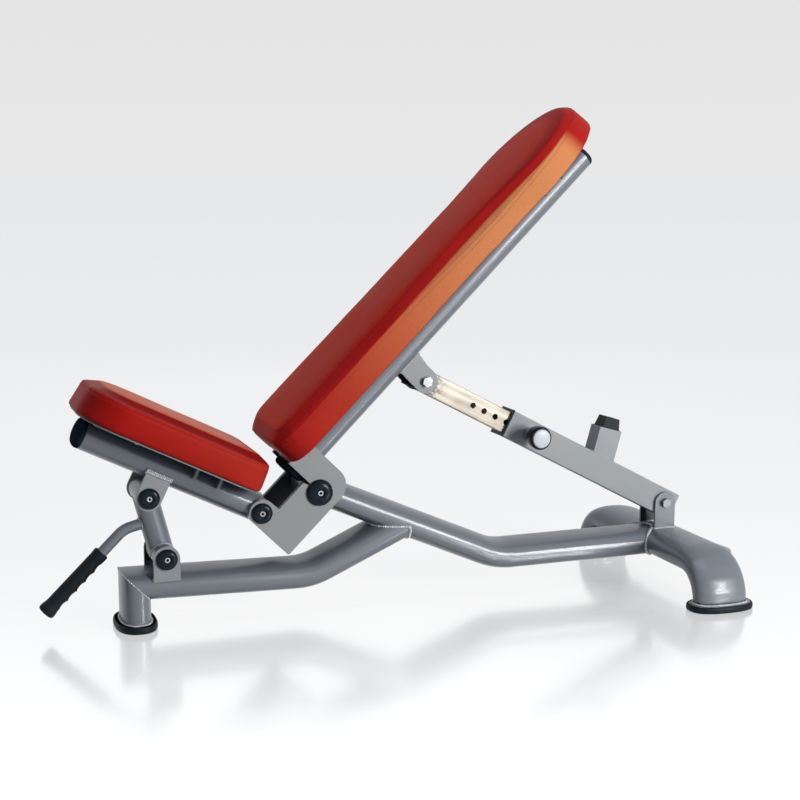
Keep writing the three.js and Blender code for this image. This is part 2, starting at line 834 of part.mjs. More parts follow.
// A pad over its board: a side band, a bevel and a flat face, with a pocket for the board
function padPieces(group, outline, floor, band, bevelRise, padName, boardName) {
  const below = bevelRise + 5;
  const geometry = new THREE.ExtrudeGeometry(outline(0), {
    depth: band + below,
    bevelThickness: bevelRise,
    bevelSize: padBevelInset,
    bevelOffset: -padBevelInset,
    bevelSegments: 1,
  });
  geometry.translate(0, 0, floor - below);
  const pocket = flatPlate(outline(boardInset), floor - boardThick, floor + boardThick + seatGap);
  const pad = toSolid(geometry)
    .subtract(halfSpace(at(0, floor), new THREE.Vector3(0, 0, -1)))
    .subtract(pocket);
  addPiece(group, padName, pad, materials.vinyl);
  const board = flatPlate(outline(boardInset + seatGap), floor, floor + boardThick);
  addPiece(group, boardName, board, materials.wood);
}

padPieces(backrest, backOutline, backFace + seatGap, padBand, padBevelRise, "back_pad", "back_board");

cappedBolt(backrest, "main", 0, 0, mainBolt, plateFace, mainCap, mainCapRise);
cappedBolt(
  backrest,
  "seat_pivot",
  -seatPivotDown,
  seatPivotOut,
  pivotBolt,
  plateFace,
  pivotCap,
  pivotCapRise,
);

// Seat: X runs to the rear and Z up out of the pad, from the seat pivot

const seat = sideGroup(backrest, -seatPivotDown, seatPivotOut, seatTurn - backTurn);

const seatTube = ovalTube([at(-seatTubeEnd, seatTubeOut), at(0, seatTubeOut)], [], yAxis, 1, 0);
const seatHub = crossPin(0, 0, hubRadius, hubPlay - plateInner, plateInner - hubPlay);
const seatBore = crossPin(0, 0, pivotBolt / 2 + boltPlay, -plateInner, plateInner);
const seatTubeSolid = seatTube.body.subtract(seatTube.bore).add(seatHub).subtract(seatBore);
addPiece(seat, "seat_tube", seatTubeSolid, materials.paint);
addPiece(seat, "seat_tube_plug", tubePlug(-seatTubeEnd, seatTubeOut, -1), materials.black);

for (const side of [-1, 1]) {
  const [y0, y1] = ordered(side * linkEarInner, side * linkEarFace);
  const ear = sidePlate(
    roundedOutline([
      [-seatEarAlong - seatEarHalf, -seatEarDrop - seatEarHalf, seatEarHalf - 0.1],
      [-seatEarAlong + seatEarHalf, -seatEarDrop - seatEarHalf, seatEarHalf - 0.1],
      [-seatEarAlong + seatEarHalf, seatTubeOut - seatEarFoot, 0],
      [-seatEarAlong - seatEarHalf, seatTubeOut - seatEarFoot, 0],
    ]),
    y0,
    y1,
  )
    .subtract(crossPin(-seatEarAlong, -seatEarDrop, pivotBolt / 2 + boltPlay, y0 - 1, y1 + 1))
    .subtract(seatTube.grown);
  addPiece(seat, "seat_ear_" + sideName(side), ear, materials.plate);

  const tip = linkEarFace + pivotCapRise - 2;
  const stub = turned([
    [0, linkEarInner],
    [pivotBolt / 2, linkEarInner],
    [pivotBolt / 2, linkEarFace],
    [boltTipRadius, linkEarFace],
    [boltTipRadius, tip],
    [0, tip],
  ]).subtract(crossPin(0, 0, socketWide / 2, tip - socketDeep, tip + 1, 6));
  const bolt = addPiece(seat, "link_upper_bolt_" + sideName(side), stub, materials.steel);
  bolt.position.set(-seatEarAlong, 0, -seatEarDrop);
  bolt.rotation.x = side < 0 ? Math.PI : 0;
  const cap = addPiece(
    seat,
    "link_upper_cap_" + sideName(side),
    domedCap(pivotCap, pivotCapRise),
    materials.black,
  );
  cap.position.set(-seatEarAlong, side * (linkEarFace + seatGap), -seatEarDrop);
  cap.rotation.x = side < 0 ? Math.PI : 0;
}

const seatPlateFloor = seatTubeOut + tubeThin / 2 + seatGap;
const seatFloor = seatPlateFloor + seatPlateThick;
const seatPlate = gussetAt
  .map((along) =>
    box(
      -along - gussetThick / 2,
      -along + gussetThick / 2,
      -gussetHalf,
      gussetHalf,
      seatPlateFloor - gussetDrop,
      seatPlateFloor + 1,
    ),
  )
  .reduce(
    (solid, gusset) => solid.add(gusset),
    box(-seatPlateTo, -seatPlateFrom, -seatPlateHalf, seatPlateHalf, seatPlateFloor, seatFloor),
  )
  .subtract(seatTube.grown);
addPiece(seat, "seat_plate", seatPlate, materials.paint);

padPieces(seat, seatOutline, seatFloor + seatGap, seatBand, seatBevelRise, "seat_pad", "seat_board");

// Front link: Z runs from the lower link pivot to the upper one

const link = sideGroup(bench, linkPivotX, linkPivotZ, linkTurn);
const linkHalf = linkEarInner - hubPlay;
const linkUpright = (radius, from, to) => {
  const geometry = new THREE.CylinderGeometry(radius, radius, to - from, 28);
  geometry.rotateX(90 * degrees);
  geometry.translate(0, 0, (from + to) / 2);
  return toSolid(geometry);
};
const rodStart = at(0, rodRise);
const rodCorner = at(-rodReach, rodRise);
const rodWay = at(-Math.cos(rodDroop * degrees), -Math.sin(rodDroop * degrees));
const rodEnd = rodCorner.clone().addScaledVector(rodWay, rodLong);
const rodRoute = [rodStart, rodCorner, rodEnd];
const linkBody = linkUpright(linkTube / 2, 0, linkLong)
  .subtract(linkUpright(linkTube / 2 - linkWall, 0, linkLong))
  .add(crossPin(0, 0, linkHub / 2, -linkHalf, linkHalf))
  .add(crossPin(0, linkLong, linkHub / 2, -linkHalf, linkHalf))
  .subtract(crossPin(0, 0, pivotBolt / 2 + boltPlay, -linkHalf - 1, linkHalf + 1))
  .subtract(crossPin(0, linkLong, pivotBolt / 2 + boltPlay, -linkHalf - 1, linkHalf + 1))
  .subtract(sweep(roundShape(rodWide + 2 * seatGap), rodRoute, [rodBend], yAxis));
addPiece(link, "link_tube", linkBody, materials.paint);

const rodBore = rodEnd.clone().add(rodWay);
const rod = sweep(roundShape(rodWide), rodRoute, [rodBend], yAxis)
  .subtract(sweep(roundShape(rodWide - 2 * rodWall), [rodStart, rodCorner, rodBore], [rodBend], yAxis))
  .subtract(linkUpright(linkTube / 2 - linkWall + seatGap, 0, linkLong));
addPiece(link, "handle_rod", rod, materials.paint);

const gripRadius = gripWide / 2;
const flareRadius = gripFlare / 2;
const gripBore = rodWide / 2 + seatGap;
const grip = turned([
  [0, -gripEnd],
  [flareRadius - 4, -gripEnd],
  [flareRadius - 0.5, -gripEnd + 3],
  [flareRadius, 2],
  [flareRadius - 1, 9],
  [gripRadius, gripFlareLong],
  [gripRadius, gripLong - gripCollarLong],
  [flareRadius - 1, gripLong - 7],
  [flareRadius - 1.5, gripLong],
  [gripBore, gripLong],
  [gripBore, -seatGap],
  [0, -seatGap],
]);
const gripMesh = addPiece(link, "handle_grip", grip, materials.rubber);
gripMesh.position.copy(rodEnd);
gripMesh.quaternion.setFromUnitVectors(yAxis, rodWay.clone().negate());

// Strut: X runs away from the clevis and Z up out of the strut, from its lower pivot

const strut = sideGroup(bench, strutPivotX, strutPivotZ, strutTurn);
const outerHalf = strutSquare / 2;
const boreHalf = outerHalf - strutWall;
const innerHalf = innerSquare / 2;
const squareTube = (x0, x1, half, wall) =>
  box(x0, x1, -half, half, -half, half).subtract(
    box(x0 - 1, x1 + 1, wall - half, half - wall, wall - half, half - wall),
  );
const pinPassage = (radius, y0, y1) => crossPin(-pinFromPivot, 0, radius, y0, y1, 24);
const outerTube = squareTube(-strutMouth, strutTail, outerHalf, strutWall)
  .subtract(crossPin(0, 0, strutBolt / 2 + boltPlay, -outerHalf - 1, outerHalf + 1))
  .subtract(pinPassage(pinWide / 2 + barrelPlay, -outerHalf - 1, 0));
addPiece(strut, "strut_outer", outerTube, materials.plate);

const rimHalf = outerHalf + collarRim;
const collar = box(-strutMouth - collarLip, -strutMouth - seatGap, -rimHalf, rimHalf, -rimHalf, rimHalf)
  .add(
    box(
      -strutMouth - 1,
      -strutMouth + collarSleeve,
      seatGap - boreHalf,
      boreHalf - seatGap,
      seatGap - boreHalf,
      boreHalf - seatGap,
    ),
  )
  .subtract(
    box(
      -strutMouth - collarLip - 1,
      -strutMouth + collarSleeve + 1,
      -innerHalf - seatGap,
      innerHalf + seatGap,
      -innerHalf - seatGap,
      innerHalf + seatGap,
    ),
  )
  .subtract(pinPassage(pinWide / 2 + barrelPlay, -outerHalf, 0));
addPiece(strut, "strut_collar", collar, materials.black);

// Stop post with its rubber bumper, leaning toward the clevis
const post = sideGroup(strut, -postFrom, 0, -postLean * degrees);
const postHalf = postWide / 2;
const postSide = postDeep / 2;
const leanCut = halfSpace(
  new THREE.Vector3(0, 0, outerHalf + seatGap).applyAxisAngle(yAxis, postLean * degrees),
  new THREE.Vector3(0, 0, -1).applyAxisAngle(yAxis, postLean * degrees),
);
const postTube2 = box(-postHalf, postHalf, -postSide, postSide, 0, postTop)
  .subtract(
    box(postWall - postHalf, postHalf - postWall, postWall - postSide, postSide - postWall, -1, postTop + 1),
  )
  .subtract(leanCut);
addPiece(post, "stop_post", postTube2, materials.plate);

const bumperHalf = bumperWide / 2;
const bumperTopHalf = bumperHalf - bumperTaper;
const bumperGeometry = new THREE.CylinderGeometry(
  bumperTopHalf * Math.SQRT2,
  bumperHalf * Math.SQRT2,
  bumperRise,
  4,
);
bumperGeometry.rotateY(45 * degrees);
bumperGeometry.rotateX(90 * degrees);
bumperGeometry.scale(1, bumperDeep / bumperWide, 1);
bumperGeometry.translate(0, 0, postTop + seatGap + bumperRise / 2);
const stemHalf = postHalf - postWall - seatGap;
const stemSide = postSide - postWall - seatGap;
const bumper = toSolid(bumperGeometry).add(
  box(-stemHalf, stemHalf, -stemSide, stemSide, postTop - bumperStem, postTop + 1),
);
addPiece(post, "stop_bumper", bumper, materials.rubber);

// Barrel that guides the pull pin
const barrelFrom = -outerHalf - seatGap;
const barrelTo = barrelFrom - barrelLong;
const barrel = pinPassage(barrelWide / 2, barrelTo, barrelFrom).subtract(
  pinPassage(pinWide / 2 + barrelPlay, barrelTo - 1, barrelFrom + 1),
);
addPiece(strut, "pin_barrel", barrel, materials.steel);

// Inner tube with its row of holes
const clevisX = -strutLong;
const innerFrom = clevisX - innerNose;
const innerTo = clevisX + innerLong;
let innerTube = squareTube(innerFrom, innerTo, innerHalf, innerWall).subtract(
  crossPin(clevisX, 0, pivotBolt / 2 + boltPlay, -innerHalf - 1, innerHalf + 1, 24),
);
const engagedHole = clevisX + (strutLong - pinFromPivot);
for (let k = 0; k < holeCount; k++) {
  const holeX = engagedHole + (k - (holeCount - 2)) * holePitch;
  innerTube = innerTube.subtract(crossPin(holeX, 0, holeWide / 2, -innerHalf - 1, 0, 20));
}
addPiece(strut, "strut_inner", innerTube, materials.zinc);

// Pull pin with its knob
const pinTo = barrelTo - knobGap - knobLong + knobCapRise;
const pin = pinPassage(pinWide / 2, pinTo, -innerHalf - pinShort);
addPiece(strut, "pop_pin", pin, materials.steel);
const knobFrom = barrelTo - knobGap;
const knobTo = knobFrom - knobLong;
const knob = turned([
  [0, knobTo],
  [knobWide / 2 - 3, knobTo],
  [knobWide / 2, knobTo + 3],
  [knobWide / 2, knobFrom - 5],
  [knobWide / 2 - 4, knobFrom],
  [0, knobFrom],
]).subtract(crossPin(0, 0, pinWide / 2 + seatGap, pinTo - seatGap, knobFrom + 1, 24));
addPiece(strut, "pop_pin_knob", knob, materials.black).position.set(-pinFromPivot, 0, 0);
const capFrom = knobTo - seatGap;
const knobCap = turned([
  [0, capFrom - knobCapRise],
  [knobCapWide / 2 - 5, capFrom - knobCapRise + 0.5],
  [knobCapWide / 2 - 1.5, capFrom - knobCapRise + 1.8],
  [knobCapWide / 2, capFrom - 1],
  [knobCapWide / 2, capFrom],
  [0, capFrom],
]);
addPiece(strut, "pop_pin_cap", knobCap, materials.white).position.set(-pinFromPivot, 0, 0);

export default bench;
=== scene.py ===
import math

import bmesh
import bpy
from mathutils import Matrix, Vector, noise
from mathutils.bvhtree import BVHTree
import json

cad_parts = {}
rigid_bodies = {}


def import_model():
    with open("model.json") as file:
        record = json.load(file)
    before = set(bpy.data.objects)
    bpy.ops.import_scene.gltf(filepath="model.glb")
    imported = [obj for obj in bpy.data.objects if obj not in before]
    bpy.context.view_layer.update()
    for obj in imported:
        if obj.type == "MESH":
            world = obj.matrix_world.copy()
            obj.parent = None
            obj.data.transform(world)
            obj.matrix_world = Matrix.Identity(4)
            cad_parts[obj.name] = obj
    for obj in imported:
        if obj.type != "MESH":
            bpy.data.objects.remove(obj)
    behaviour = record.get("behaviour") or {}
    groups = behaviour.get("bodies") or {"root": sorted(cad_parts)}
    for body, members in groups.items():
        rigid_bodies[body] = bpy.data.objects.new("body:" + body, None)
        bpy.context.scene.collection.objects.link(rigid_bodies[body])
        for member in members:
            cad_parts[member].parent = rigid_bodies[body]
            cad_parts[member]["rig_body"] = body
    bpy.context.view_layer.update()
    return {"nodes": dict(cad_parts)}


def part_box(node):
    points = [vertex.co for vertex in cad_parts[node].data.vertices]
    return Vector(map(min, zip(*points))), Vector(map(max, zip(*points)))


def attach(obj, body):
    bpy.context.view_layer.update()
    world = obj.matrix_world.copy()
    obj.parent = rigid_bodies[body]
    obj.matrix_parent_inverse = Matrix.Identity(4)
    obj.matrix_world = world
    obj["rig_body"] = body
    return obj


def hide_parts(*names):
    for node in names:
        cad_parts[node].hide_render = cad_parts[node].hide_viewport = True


for stray in list(bpy.data.objects):
    bpy.data.objects.remove(stray)

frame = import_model()
nodes = frame["nodes"]
print("frame loaded:", len(nodes), "nodes")

# places on the bench, in metres
backTilt = math.radians(45.18)
seatTilt = math.radians(26.1)
backPivot = Vector((0.308, 0, 0.220))
seatPivot = Vector((0.207399, 0, 0.190975))
strutPivot = Vector((0.985, 0, 0.148))
clevisPin = Vector((0.511021, 0, 0.397062))
lowLinkPin = Vector((0.0473, 0, 0.1222))
highLinkPin = Vector((0.020165, 0, 0.227023))


def framePlace(origin, along):
    # X runs along the part, Y stays the bench's own, Z stands square to both
    x = along.normalized()
    z = x.cross(Vector((0, 1, 0)))
    place = Matrix((x, (0, 1, 0), z)).transposed().to_4x4()
    place.translation = origin
    return place


backPlace = framePlace(backPivot, Vector((math.cos(backTilt), 0, math.sin(backTilt))))
seatPlace = framePlace(seatPivot, Vector((math.cos(seatTilt), 0, -math.sin(seatTilt))))
strutWay = (strutPivot - clevisPin).normalized()
strutPlace = framePlace(strutPivot, strutWay)
linkUp = (highLinkPin - lowLinkPin).normalized()
linkRear = Vector((linkUp.z, 0, -linkUp.x))


def bodyOf(node):
    return nodes[node]["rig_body"]


def pieceName(node):
    return "".join(word.capitalize() if k else word for k, word in enumerate(node.split("_")))


# shader building blocks

def newNode(tree, kind, **settings):
    node = tree.nodes.new(kind)
    for name, value in settings.items():
        setattr(node, name, value)
    return node


def startGroup(name, inputs, outputs):
    group = bpy.data.node_groups.new(name, "ShaderNodeTree")
    for label, kind, value in inputs:
        socket = group.interface.new_socket(name=label, in_out="INPUT", socket_type=kind)
        socket.default_value = value
    for label, kind in outputs:
        group.interface.new_socket(name=label, in_out="OUTPUT", socket_type=kind)
    return group, group.nodes.new("NodeGroupInput"), group.nodes.new("NodeGroupOutput")


def wire(tree, source, target):
    tree.links.new(source, target)


def mathNode(tree, operation, first, second=None, clamp=False):
    node = newNode(tree, "ShaderNodeMath", operation=operation, use_clamp=clamp)
    for slot, value in enumerate((first, second)):
        if value is None:
            continue
        if isinstance(value, (int, float)):
            node.inputs[slot].default_value = value
        else:
            wire(tree, value, node.inputs[slot])
    return node.outputs[0]


def rampNode(tree, source, low, high, lowTo=0.0, highTo=1.0):
    node = newNode(tree, "ShaderNodeMapRange", clamp=True, interpolation_type="SMOOTHSTEP")
    wire(tree, source, node.inputs["Value"])
    node.inputs["From Min"].default_value = low
    node.inputs["From Max"].default_value = high
    node.inputs["To Min"].default_value = lowTo
    node.inputs["To Max"].default_value = highTo
    return node.outputs["Result"]


def noiseNode(tree, place, scale, detail, rough=0.55):
    node = newNode(tree, "ShaderNodeTexNoise")
    wire(tree, place, node.inputs["Vector"])
    if isinstance(scale, (int, float)):
        node.inputs["Scale"].default_value = scale
    else:
        wire(tree, scale, node.inputs["Scale"])
    node.inputs["Detail"].default_value = detail
    node.inputs["Roughness"].default_value = rough
    return node.outputs["Fac"]


floatKind = "NodeSocketFloat"
vectorKind = "NodeSocketVector"

# fine surface grain: sprayed paint, moulded plastic, rubber
grainGroup, grainIn, grainOut = startGroup(
    "surfaceGrain",
    [("Place", vectorKind, (0, 0, 0)), ("Scale", floatKind, 500.0), ("Sharpness", floatKind, 0.5)],
    [("Height", floatKind), ("Fleck", floatKind)],
)
coarse = noiseNode(grainGroup, grainIn.outputs["Place"], grainIn.outputs["Scale"], 2.0)
finer = mathNode(grainGroup, "MULTIPLY", grainIn.outputs["Scale"], 3.7)
fine = noiseNode(grainGroup, grainIn.outputs["Place"], finer, 1.0)
mixed = mathNode(grainGroup, "MULTIPLY_ADD", fine, grainIn.outputs["Sharpness"])
wire(grainGroup, coarse, mixed.node.inputs[2])
wire(grainGroup, mixed, grainOut.inputs["Height"])
wire(grainGroup, rampNode(grainGroup, fine, 0.42, 0.62), grainOut.inputs["Fleck"])

# slow change of tone over a hand's width
mottleGroup, mottleIn, mottleOut = startGroup(
    "slowMottle",
    [("Place", vectorKind, (0, 0, 0)), ("Scale", floatKind, 9.0)],
    [("Value", floatKind)],
)
slow = noiseNode(mottleGroup, mottleIn.outputs["Place"], mottleIn.outputs["Scale"], 3.0)
wire(mottleGroup, rampNode(mottleGroup, slow, 0.3, 0.7), mottleOut.inputs["Value"])

# wear that follows the outer edges
wearGroup, wearIn, wearOut = startGroup(
    "edgeWear",
    [("Place", vectorKind, (0, 0, 0)), ("Width", floatKind, 0.0012), ("Amount", floatKind, 0.5)],
    [("Mask", floatKind)],
)
rounded = newNode(wearGroup, "ShaderNodeBevel", samples=4)
wire(wearGroup, wearIn.outputs["Width"], rounded.inputs["Radius"])
surface = newNode(wearGroup, "ShaderNodeNewGeometry")
facing = newNode(wearGroup, "ShaderNodeVectorMath", operation="DOT_PRODUCT")
wire(wearGroup, rounded.outputs["Normal"], facing.inputs[0])
wire(wearGroup, surface.outputs["Normal"], facing.inputs[1])
turned = mathNode(wearGroup, "SUBTRACT", 1.0, facing.outputs["Value"])
edge = rampNode(wearGroup, turned, 0.02, 0.22)
patchy = rampNode(wearGroup, noiseNode(wearGroup, wearIn.outputs["Place"], 70.0, 4.0), 0.42, 0.6)
worn = mathNode(wearGroup, "MULTIPLY", edge, patchy)
wire(wearGroup, mathNode(wearGroup, "MULTIPLY", worn, wearIn.outputs["Amount"]), wearOut.inputs["Mask"])

# a thin film of dust on faces that look up
dustGroup, dustIn, dustOut = startGroup(
    "dustFilm",
    [("Place", vectorKind, (0, 0, 0)), ("Facing", vectorKind, (0, 0, 1)), ("Amount", floatKind, 0.2)],
    [("Mask", floatKind)],
)
split = newNode(dustGroup, "ShaderNodeSeparateXYZ")
wire(dustGroup, dustIn.outputs["Facing"], split.inputs[0])
upward = rampNode(dustGroup, split.outputs["Z"], 0.35, 0.95)
drift = rampNode(dustGroup, noiseNode(dustGroup, dustIn.outputs["Place"], 28.0, 5.0), 0.35, 0.75)
film = mathNode(dustGroup, "MULTIPLY", upward, drift)
wire(dustGroup, mathNode(dustGroup, "MULTIPLY", film, dustIn.outputs["Amount"]), dustOut.inputs["Mask"])

# drawn lines along a metal part: Place comes in already turned so that X is the drawing way
drawnGroup, drawnIn, drawnOut = startGroup(
    "drawnLines",
    [("Place", vectorKind, (0, 0, 0)), ("Stretch", floatKind, 0.03), ("Scale", floatKind, 900.0)],
    [("Height", floatKind), ("Streak", floatKind)],
)
parts = newNode(drawnGroup, "ShaderNodeSeparateXYZ")
wire(drawnGroup, drawnIn.outputs["Place"], parts.inputs[0])
longWay = mathNode(drawnGroup, "MULTIPLY", parts.outputs["X"], drawnIn.outputs["Stretch"])
joined = newNode(drawnGroup, "ShaderNodeCombineXYZ")
wire(drawnGroup, longWay, joined.inputs["X"])
wire(drawnGroup, parts.outputs["Y"], joined.inputs["Y"])
wire(drawnGroup, parts.outputs["Z"], joined.inputs["Z"])
lines = noiseNode(drawnGroup, joined.outputs[0], drawnIn.outputs["Scale"], 3.0)
wire(drawnGroup, lines, drawnOut.inputs["Height"])
broad = noiseNode(drawnGroup, joined.outputs[0], 90.0, 3.0)
wire(drawnGroup, rampNode(drawnGroup, broad, 0.4, 0.66), drawnOut.inputs["Streak"])

# embossed pebbles of coated upholstery cloth
pebbleGroup, pebbleIn, pebbleOut = startGroup(
    "vinylPebble",
    [("Place", vectorKind, (0, 0, 0)), ("Scale", floatKind, 620.0)],
    [("Height", floatKind), ("Crease", floatKind)],
)
warp = newNode(pebbleGroup, "ShaderNodeTexNoise")
wire(pebbleGroup, pebbleIn.outputs["Place"], warp.inputs["Vector"])
warp.inputs["Scale"].default_value = 300.0
nudge = newNode(pebbleGroup, "ShaderNodeVectorMath", operation="MULTIPLY_ADD")
wire(pebbleGroup, warp.outputs["Color"], nudge.inputs[0])
nudge.inputs[1].default_value = (0.0016, 0.0016, 0.0016)
wire(pebbleGroup, pebbleIn.outputs["Place"], nudge.inputs[2])
cells = newNode(pebbleGroup, "ShaderNodeTexVoronoi", feature="DISTANCE_TO_EDGE")
wire(pebbleGroup, nudge.outputs[0], cells.inputs["Vector"])
wire(pebbleGroup, pebbleIn.outputs["Scale"], cells.inputs["Scale"])
pebbles = rampNode(pebbleGroup, cells.outputs["Distance"], 0.0, 0.28)
pores = noiseNode(pebbleGroup, pebbleIn.outputs["Place"], 2600.0, 1.0)
wire(pebbleGroup, mathNode(pebbleGroup, "MULTIPLY_ADD", pores, 0.18), pebbleOut.inputs["Height"])
wire(pebbleGroup, pebbles, pebbleOut.inputs["Height"].links[0].from_node.inputs[2])
creases = rampNode(pebbleGroup, cells.outputs["Distance"], 0.0, 0.1, 1.0, 0.0)
wire(pebbleGroup, creases, pebbleOut.inputs["Crease"])


def useGroup(tree, group, **values):
    node = newNode(tree, "ShaderNodeGroup", node_tree=group)
    for label, value in values.items():
        if isinstance(value, bpy.types.NodeSocket):
            wire(tree, value, node.inputs[label])
        else:
            node.inputs[label].default_value = value
    return node


def startMaterial(name, **constants):
    material = bpy.data.materials.new(name)
    material.use_nodes = True
    tree = material.node_tree
    shader = tree.nodes["Principled BSDF"]
    for label, value in constants.items():
        shader.inputs[label.replace("_", " ")].default_value = value
    place = newNode(tree, "ShaderNodeTexCoord")
    return material, tree, shader, place


def mixColor(tree, factor, first, second):
    node = newNode(tree, "ShaderNodeMix", data_type="RGBA")
    wire(tree, factor, node.inputs[0])
    for slot, value in ((6, first), (7, second)):
        if isinstance(value, bpy.types.NodeSocket):
            wire(tree, value, node.inputs[slot])
        else:
            node.inputs[slot].default_value = (*value, 1)
    return node.outputs[2]


def bumpNode(tree, shader, height, strength, distance):
    node = newNode(tree, "ShaderNodeBump")
    node.inputs["Strength"].default_value = strength
    node.inputs["Distance"].default_value = distance
    wire(tree, height, node.inputs["Height"])
    wire(tree, node.outputs["Normal"], shader.inputs["Normal"])
    return node


dustGrey = (0.34, 0.34, 0.34)
# painted shade for the inward faces of plates and ears
innerShadeTone = (0.008, 0.011, 0.015)


def paintMaterial(name, look):
    material, tree, shader, place = startMaterial(
        name, Metallic=look["metal"], Specular_IOR_Level=look["specular"],
        Coat_Weight=look["coat"], Coat_Roughness=look["coatRough"],
    )
    spot = place.outputs["Object"]
    flake = useGroup(tree, grainGroup, Place=spot, Scale=look["flakeScale"], Sharpness=0.6)
    mottle = useGroup(tree, mottleGroup, Place=spot, Scale=7.0)
    wear = useGroup(tree, wearGroup, Place=spot, Width=0.0012, Amount=look["wear"])
    dust = useGroup(tree, dustGroup, Place=spot, Facing=place.outputs["Normal"], Amount=look["dust"])
    tone = mixColor(tree, flake.outputs["Fleck"], look["dark"], look["light"])
    tone = mixColor(tree, wear.outputs["Mask"], tone, look["bare"])
    tone = mixColor(tree, dust.outputs["Mask"], tone, dustGrey)
    if look["inner"]:
        # painted shade: faces that look in towards the bench's middle are painted near-black, standing in for
        # the shade between plates and ears
        spotWays = newNode(tree, "ShaderNodeSeparateXYZ")
        wire(tree, spot, spotWays.inputs[0])
        faceWays = newNode(tree, "ShaderNodeSeparateXYZ")
        wire(tree, place.outputs["Normal"], faceWays.inputs[0])
        side = mathNode(tree, "SIGN", spotWays.outputs["Y"])
        inwardFace = mathNode(tree, "MULTIPLY", side, faceWays.outputs["Y"])
        innerShadeMask = rampNode(tree, inwardFace, -0.8, -0.4, look["inner"], 0.0)
        tone = mixColor(tree, innerShadeMask, tone, innerShadeTone)
    wire(tree, tone, shader.inputs["Base Color"])
    rough = mathNode(tree, "MULTIPLY_ADD", dust.outputs["Mask"], 0.5)
    sheen = rampNode(tree, mottle.outputs["Value"], 0, 1, look["rough"] - 0.03, look["rough"] + 0.04)
    wire(tree, sheen, rough.node.inputs[2])
    wire(tree, rough, shader.inputs["Roughness"])
    peel = useGroup(tree, grainGroup, Place=spot, Scale=look["peelScale"], Sharpness=0.15)
    bumpNode(tree, shader, peel.outputs["Height"], look["peel"], 0.0004)
    return material


framePaint = paintMaterial("framePaint", dict(
    dark=(0.155, 0.174, 0.206), light=(0.232, 0.252, 0.288), bare=(0.36, 0.37, 0.39),
    metal=0.10, specular=0.34, rough=0.34, coat=0.22, coatRough=0.10, flakeScale=1500.0,
    wear=0.35, dust=0.06, peelScale=190.0, peel=0.08, inner=0.0,
))
plateCoat = dict(
    dark=(0.27, 0.288, 0.305), light=(0.36, 0.378, 0.395), bare=(0.52, 0.53, 0.54),
    metal=0.06, specular=0.2, rough=0.45, coat=0.06, coatRough=0.25, flakeScale=1500.0,
    wear=0.45, dust=0.06, peelScale=190.0, peel=0.08, inner=0.96,
)
platePaint = paintMaterial("platePaint", plateCoat)
seatEarPaint = paintMaterial("seatEarPaint", dict(
    plateCoat, dark=(0.29, 0.308, 0.325), light=(0.38, 0.398, 0.415), inner=0.0,
))
# painted highlight: the beads' pale flecks and light tone stand in for the glints on welded beads
beadPaint = paintMaterial("beadPaint", dict(
    dark=(0.32, 0.33, 0.35), light=(0.62, 0.63, 0.65), bare=(0.70, 0.70, 0.71),
    metal=0.3, specular=0.6, rough=0.26, coat=0.5, coatRough=0.05, flakeScale=900.0,
    wear=0.3, dust=0.03, peelScale=420.0, peel=0.3, inner=0.0,
))
earPaint = paintMaterial("earPaint", dict(
    dark=(0.13, 0.147, 0.17), light=(0.19, 0.208, 0.23), bare=(0.52, 0.53, 0.54),
    metal=0.08, specular=0.3, rough=0.4, coat=0.15, coatRough=0.12, flakeScale=1500.0,
    wear=0.45, dust=0.06, peelScale=190.0, peel=0.08, inner=0.9,
))

# the last tone serves both the darker specks near the pivot and the painted shade on the tube's nose
zincTones = dict(warm=(0.37, 0.325, 0.265), pale=(0.50, 0.455, 0.385), streak=(0.58, 0.545, 0.49),
                 grime=(0.03, 0.028, 0.026))


def zincMaterial():
    material, tree, shader, place = startMaterial("zincTube", Metallic=0.35, Specular_IOR_Level=0.2)
    turn = newNode(tree, "ShaderNodeMapping", vector_type="TEXTURE")
    wire(tree, place.outputs["Object"], turn.inputs["Vector"])
    turn.inputs["Location"].default_value = clevisPin
    turn.inputs["Rotation"].default_value = (0, math.atan2(-strutWay.z, strutWay.x), 0)
    spot = turn.outputs["Vector"]
    drawn = useGroup(tree, drawnGroup, Place=spot, Stretch=0.05, Scale=1100.0)
    mottle = useGroup(tree, mottleGroup, Place=spot, Scale=24.0)
    tone = mixColor(tree, mottle.outputs["Value"], zincTones["warm"], zincTones["pale"])
    tone = mixColor(tree, drawn.outputs["Streak"], tone, zincTones["streak"])
    # darker specks near the pivot, where the tube leaves its ears
    away = newNode(tree, "ShaderNodeVectorMath", operation="LENGTH")
    wire(tree, spot, away.inputs[0])
    near = rampNode(tree, away.outputs["Value"], 0.018, 0.052, 1.0, 0.0)
    specks = rampNode(tree, noiseNode(tree, spot, 160.0, 5.0, 0.7), 0.44, 0.6)
    grime = mathNode(tree, "MULTIPLY", near, specks)
    # painted shade: the tube's nose between the ears is painted near-black
    ways = newNode(tree, "ShaderNodeSeparateXYZ")
    wire(tree, spot, ways.inputs[0])
    grime = mathNode(tree, "MAXIMUM", grime, rampNode(tree, ways.outputs["X"], 0.004, 0.02, 1.0, 0.0))
    tone = mixColor(tree, grime, tone, zincTones["grime"])
    wire(tree, tone, shader.inputs["Base Color"])
    rough = mathNode(tree, "MULTIPLY_ADD", grime, 0.4)
    wire(tree, rampNode(tree, drawn.outputs["Streak"], 0, 1, 0.5, 0.42), rough.node.inputs[2])
    wire(tree, rough, shader.inputs["Roughness"])
    bumpNode(tree, shader, drawn.outputs["Height"], 0.12, 0.0002)
    return material


zincTube = zincMaterial()


steelTones = dict(dull=(0.32, 0.32, 0.33), clear=(0.42, 0.42, 0.43), rubbed=(0.6, 0.6, 0.6))


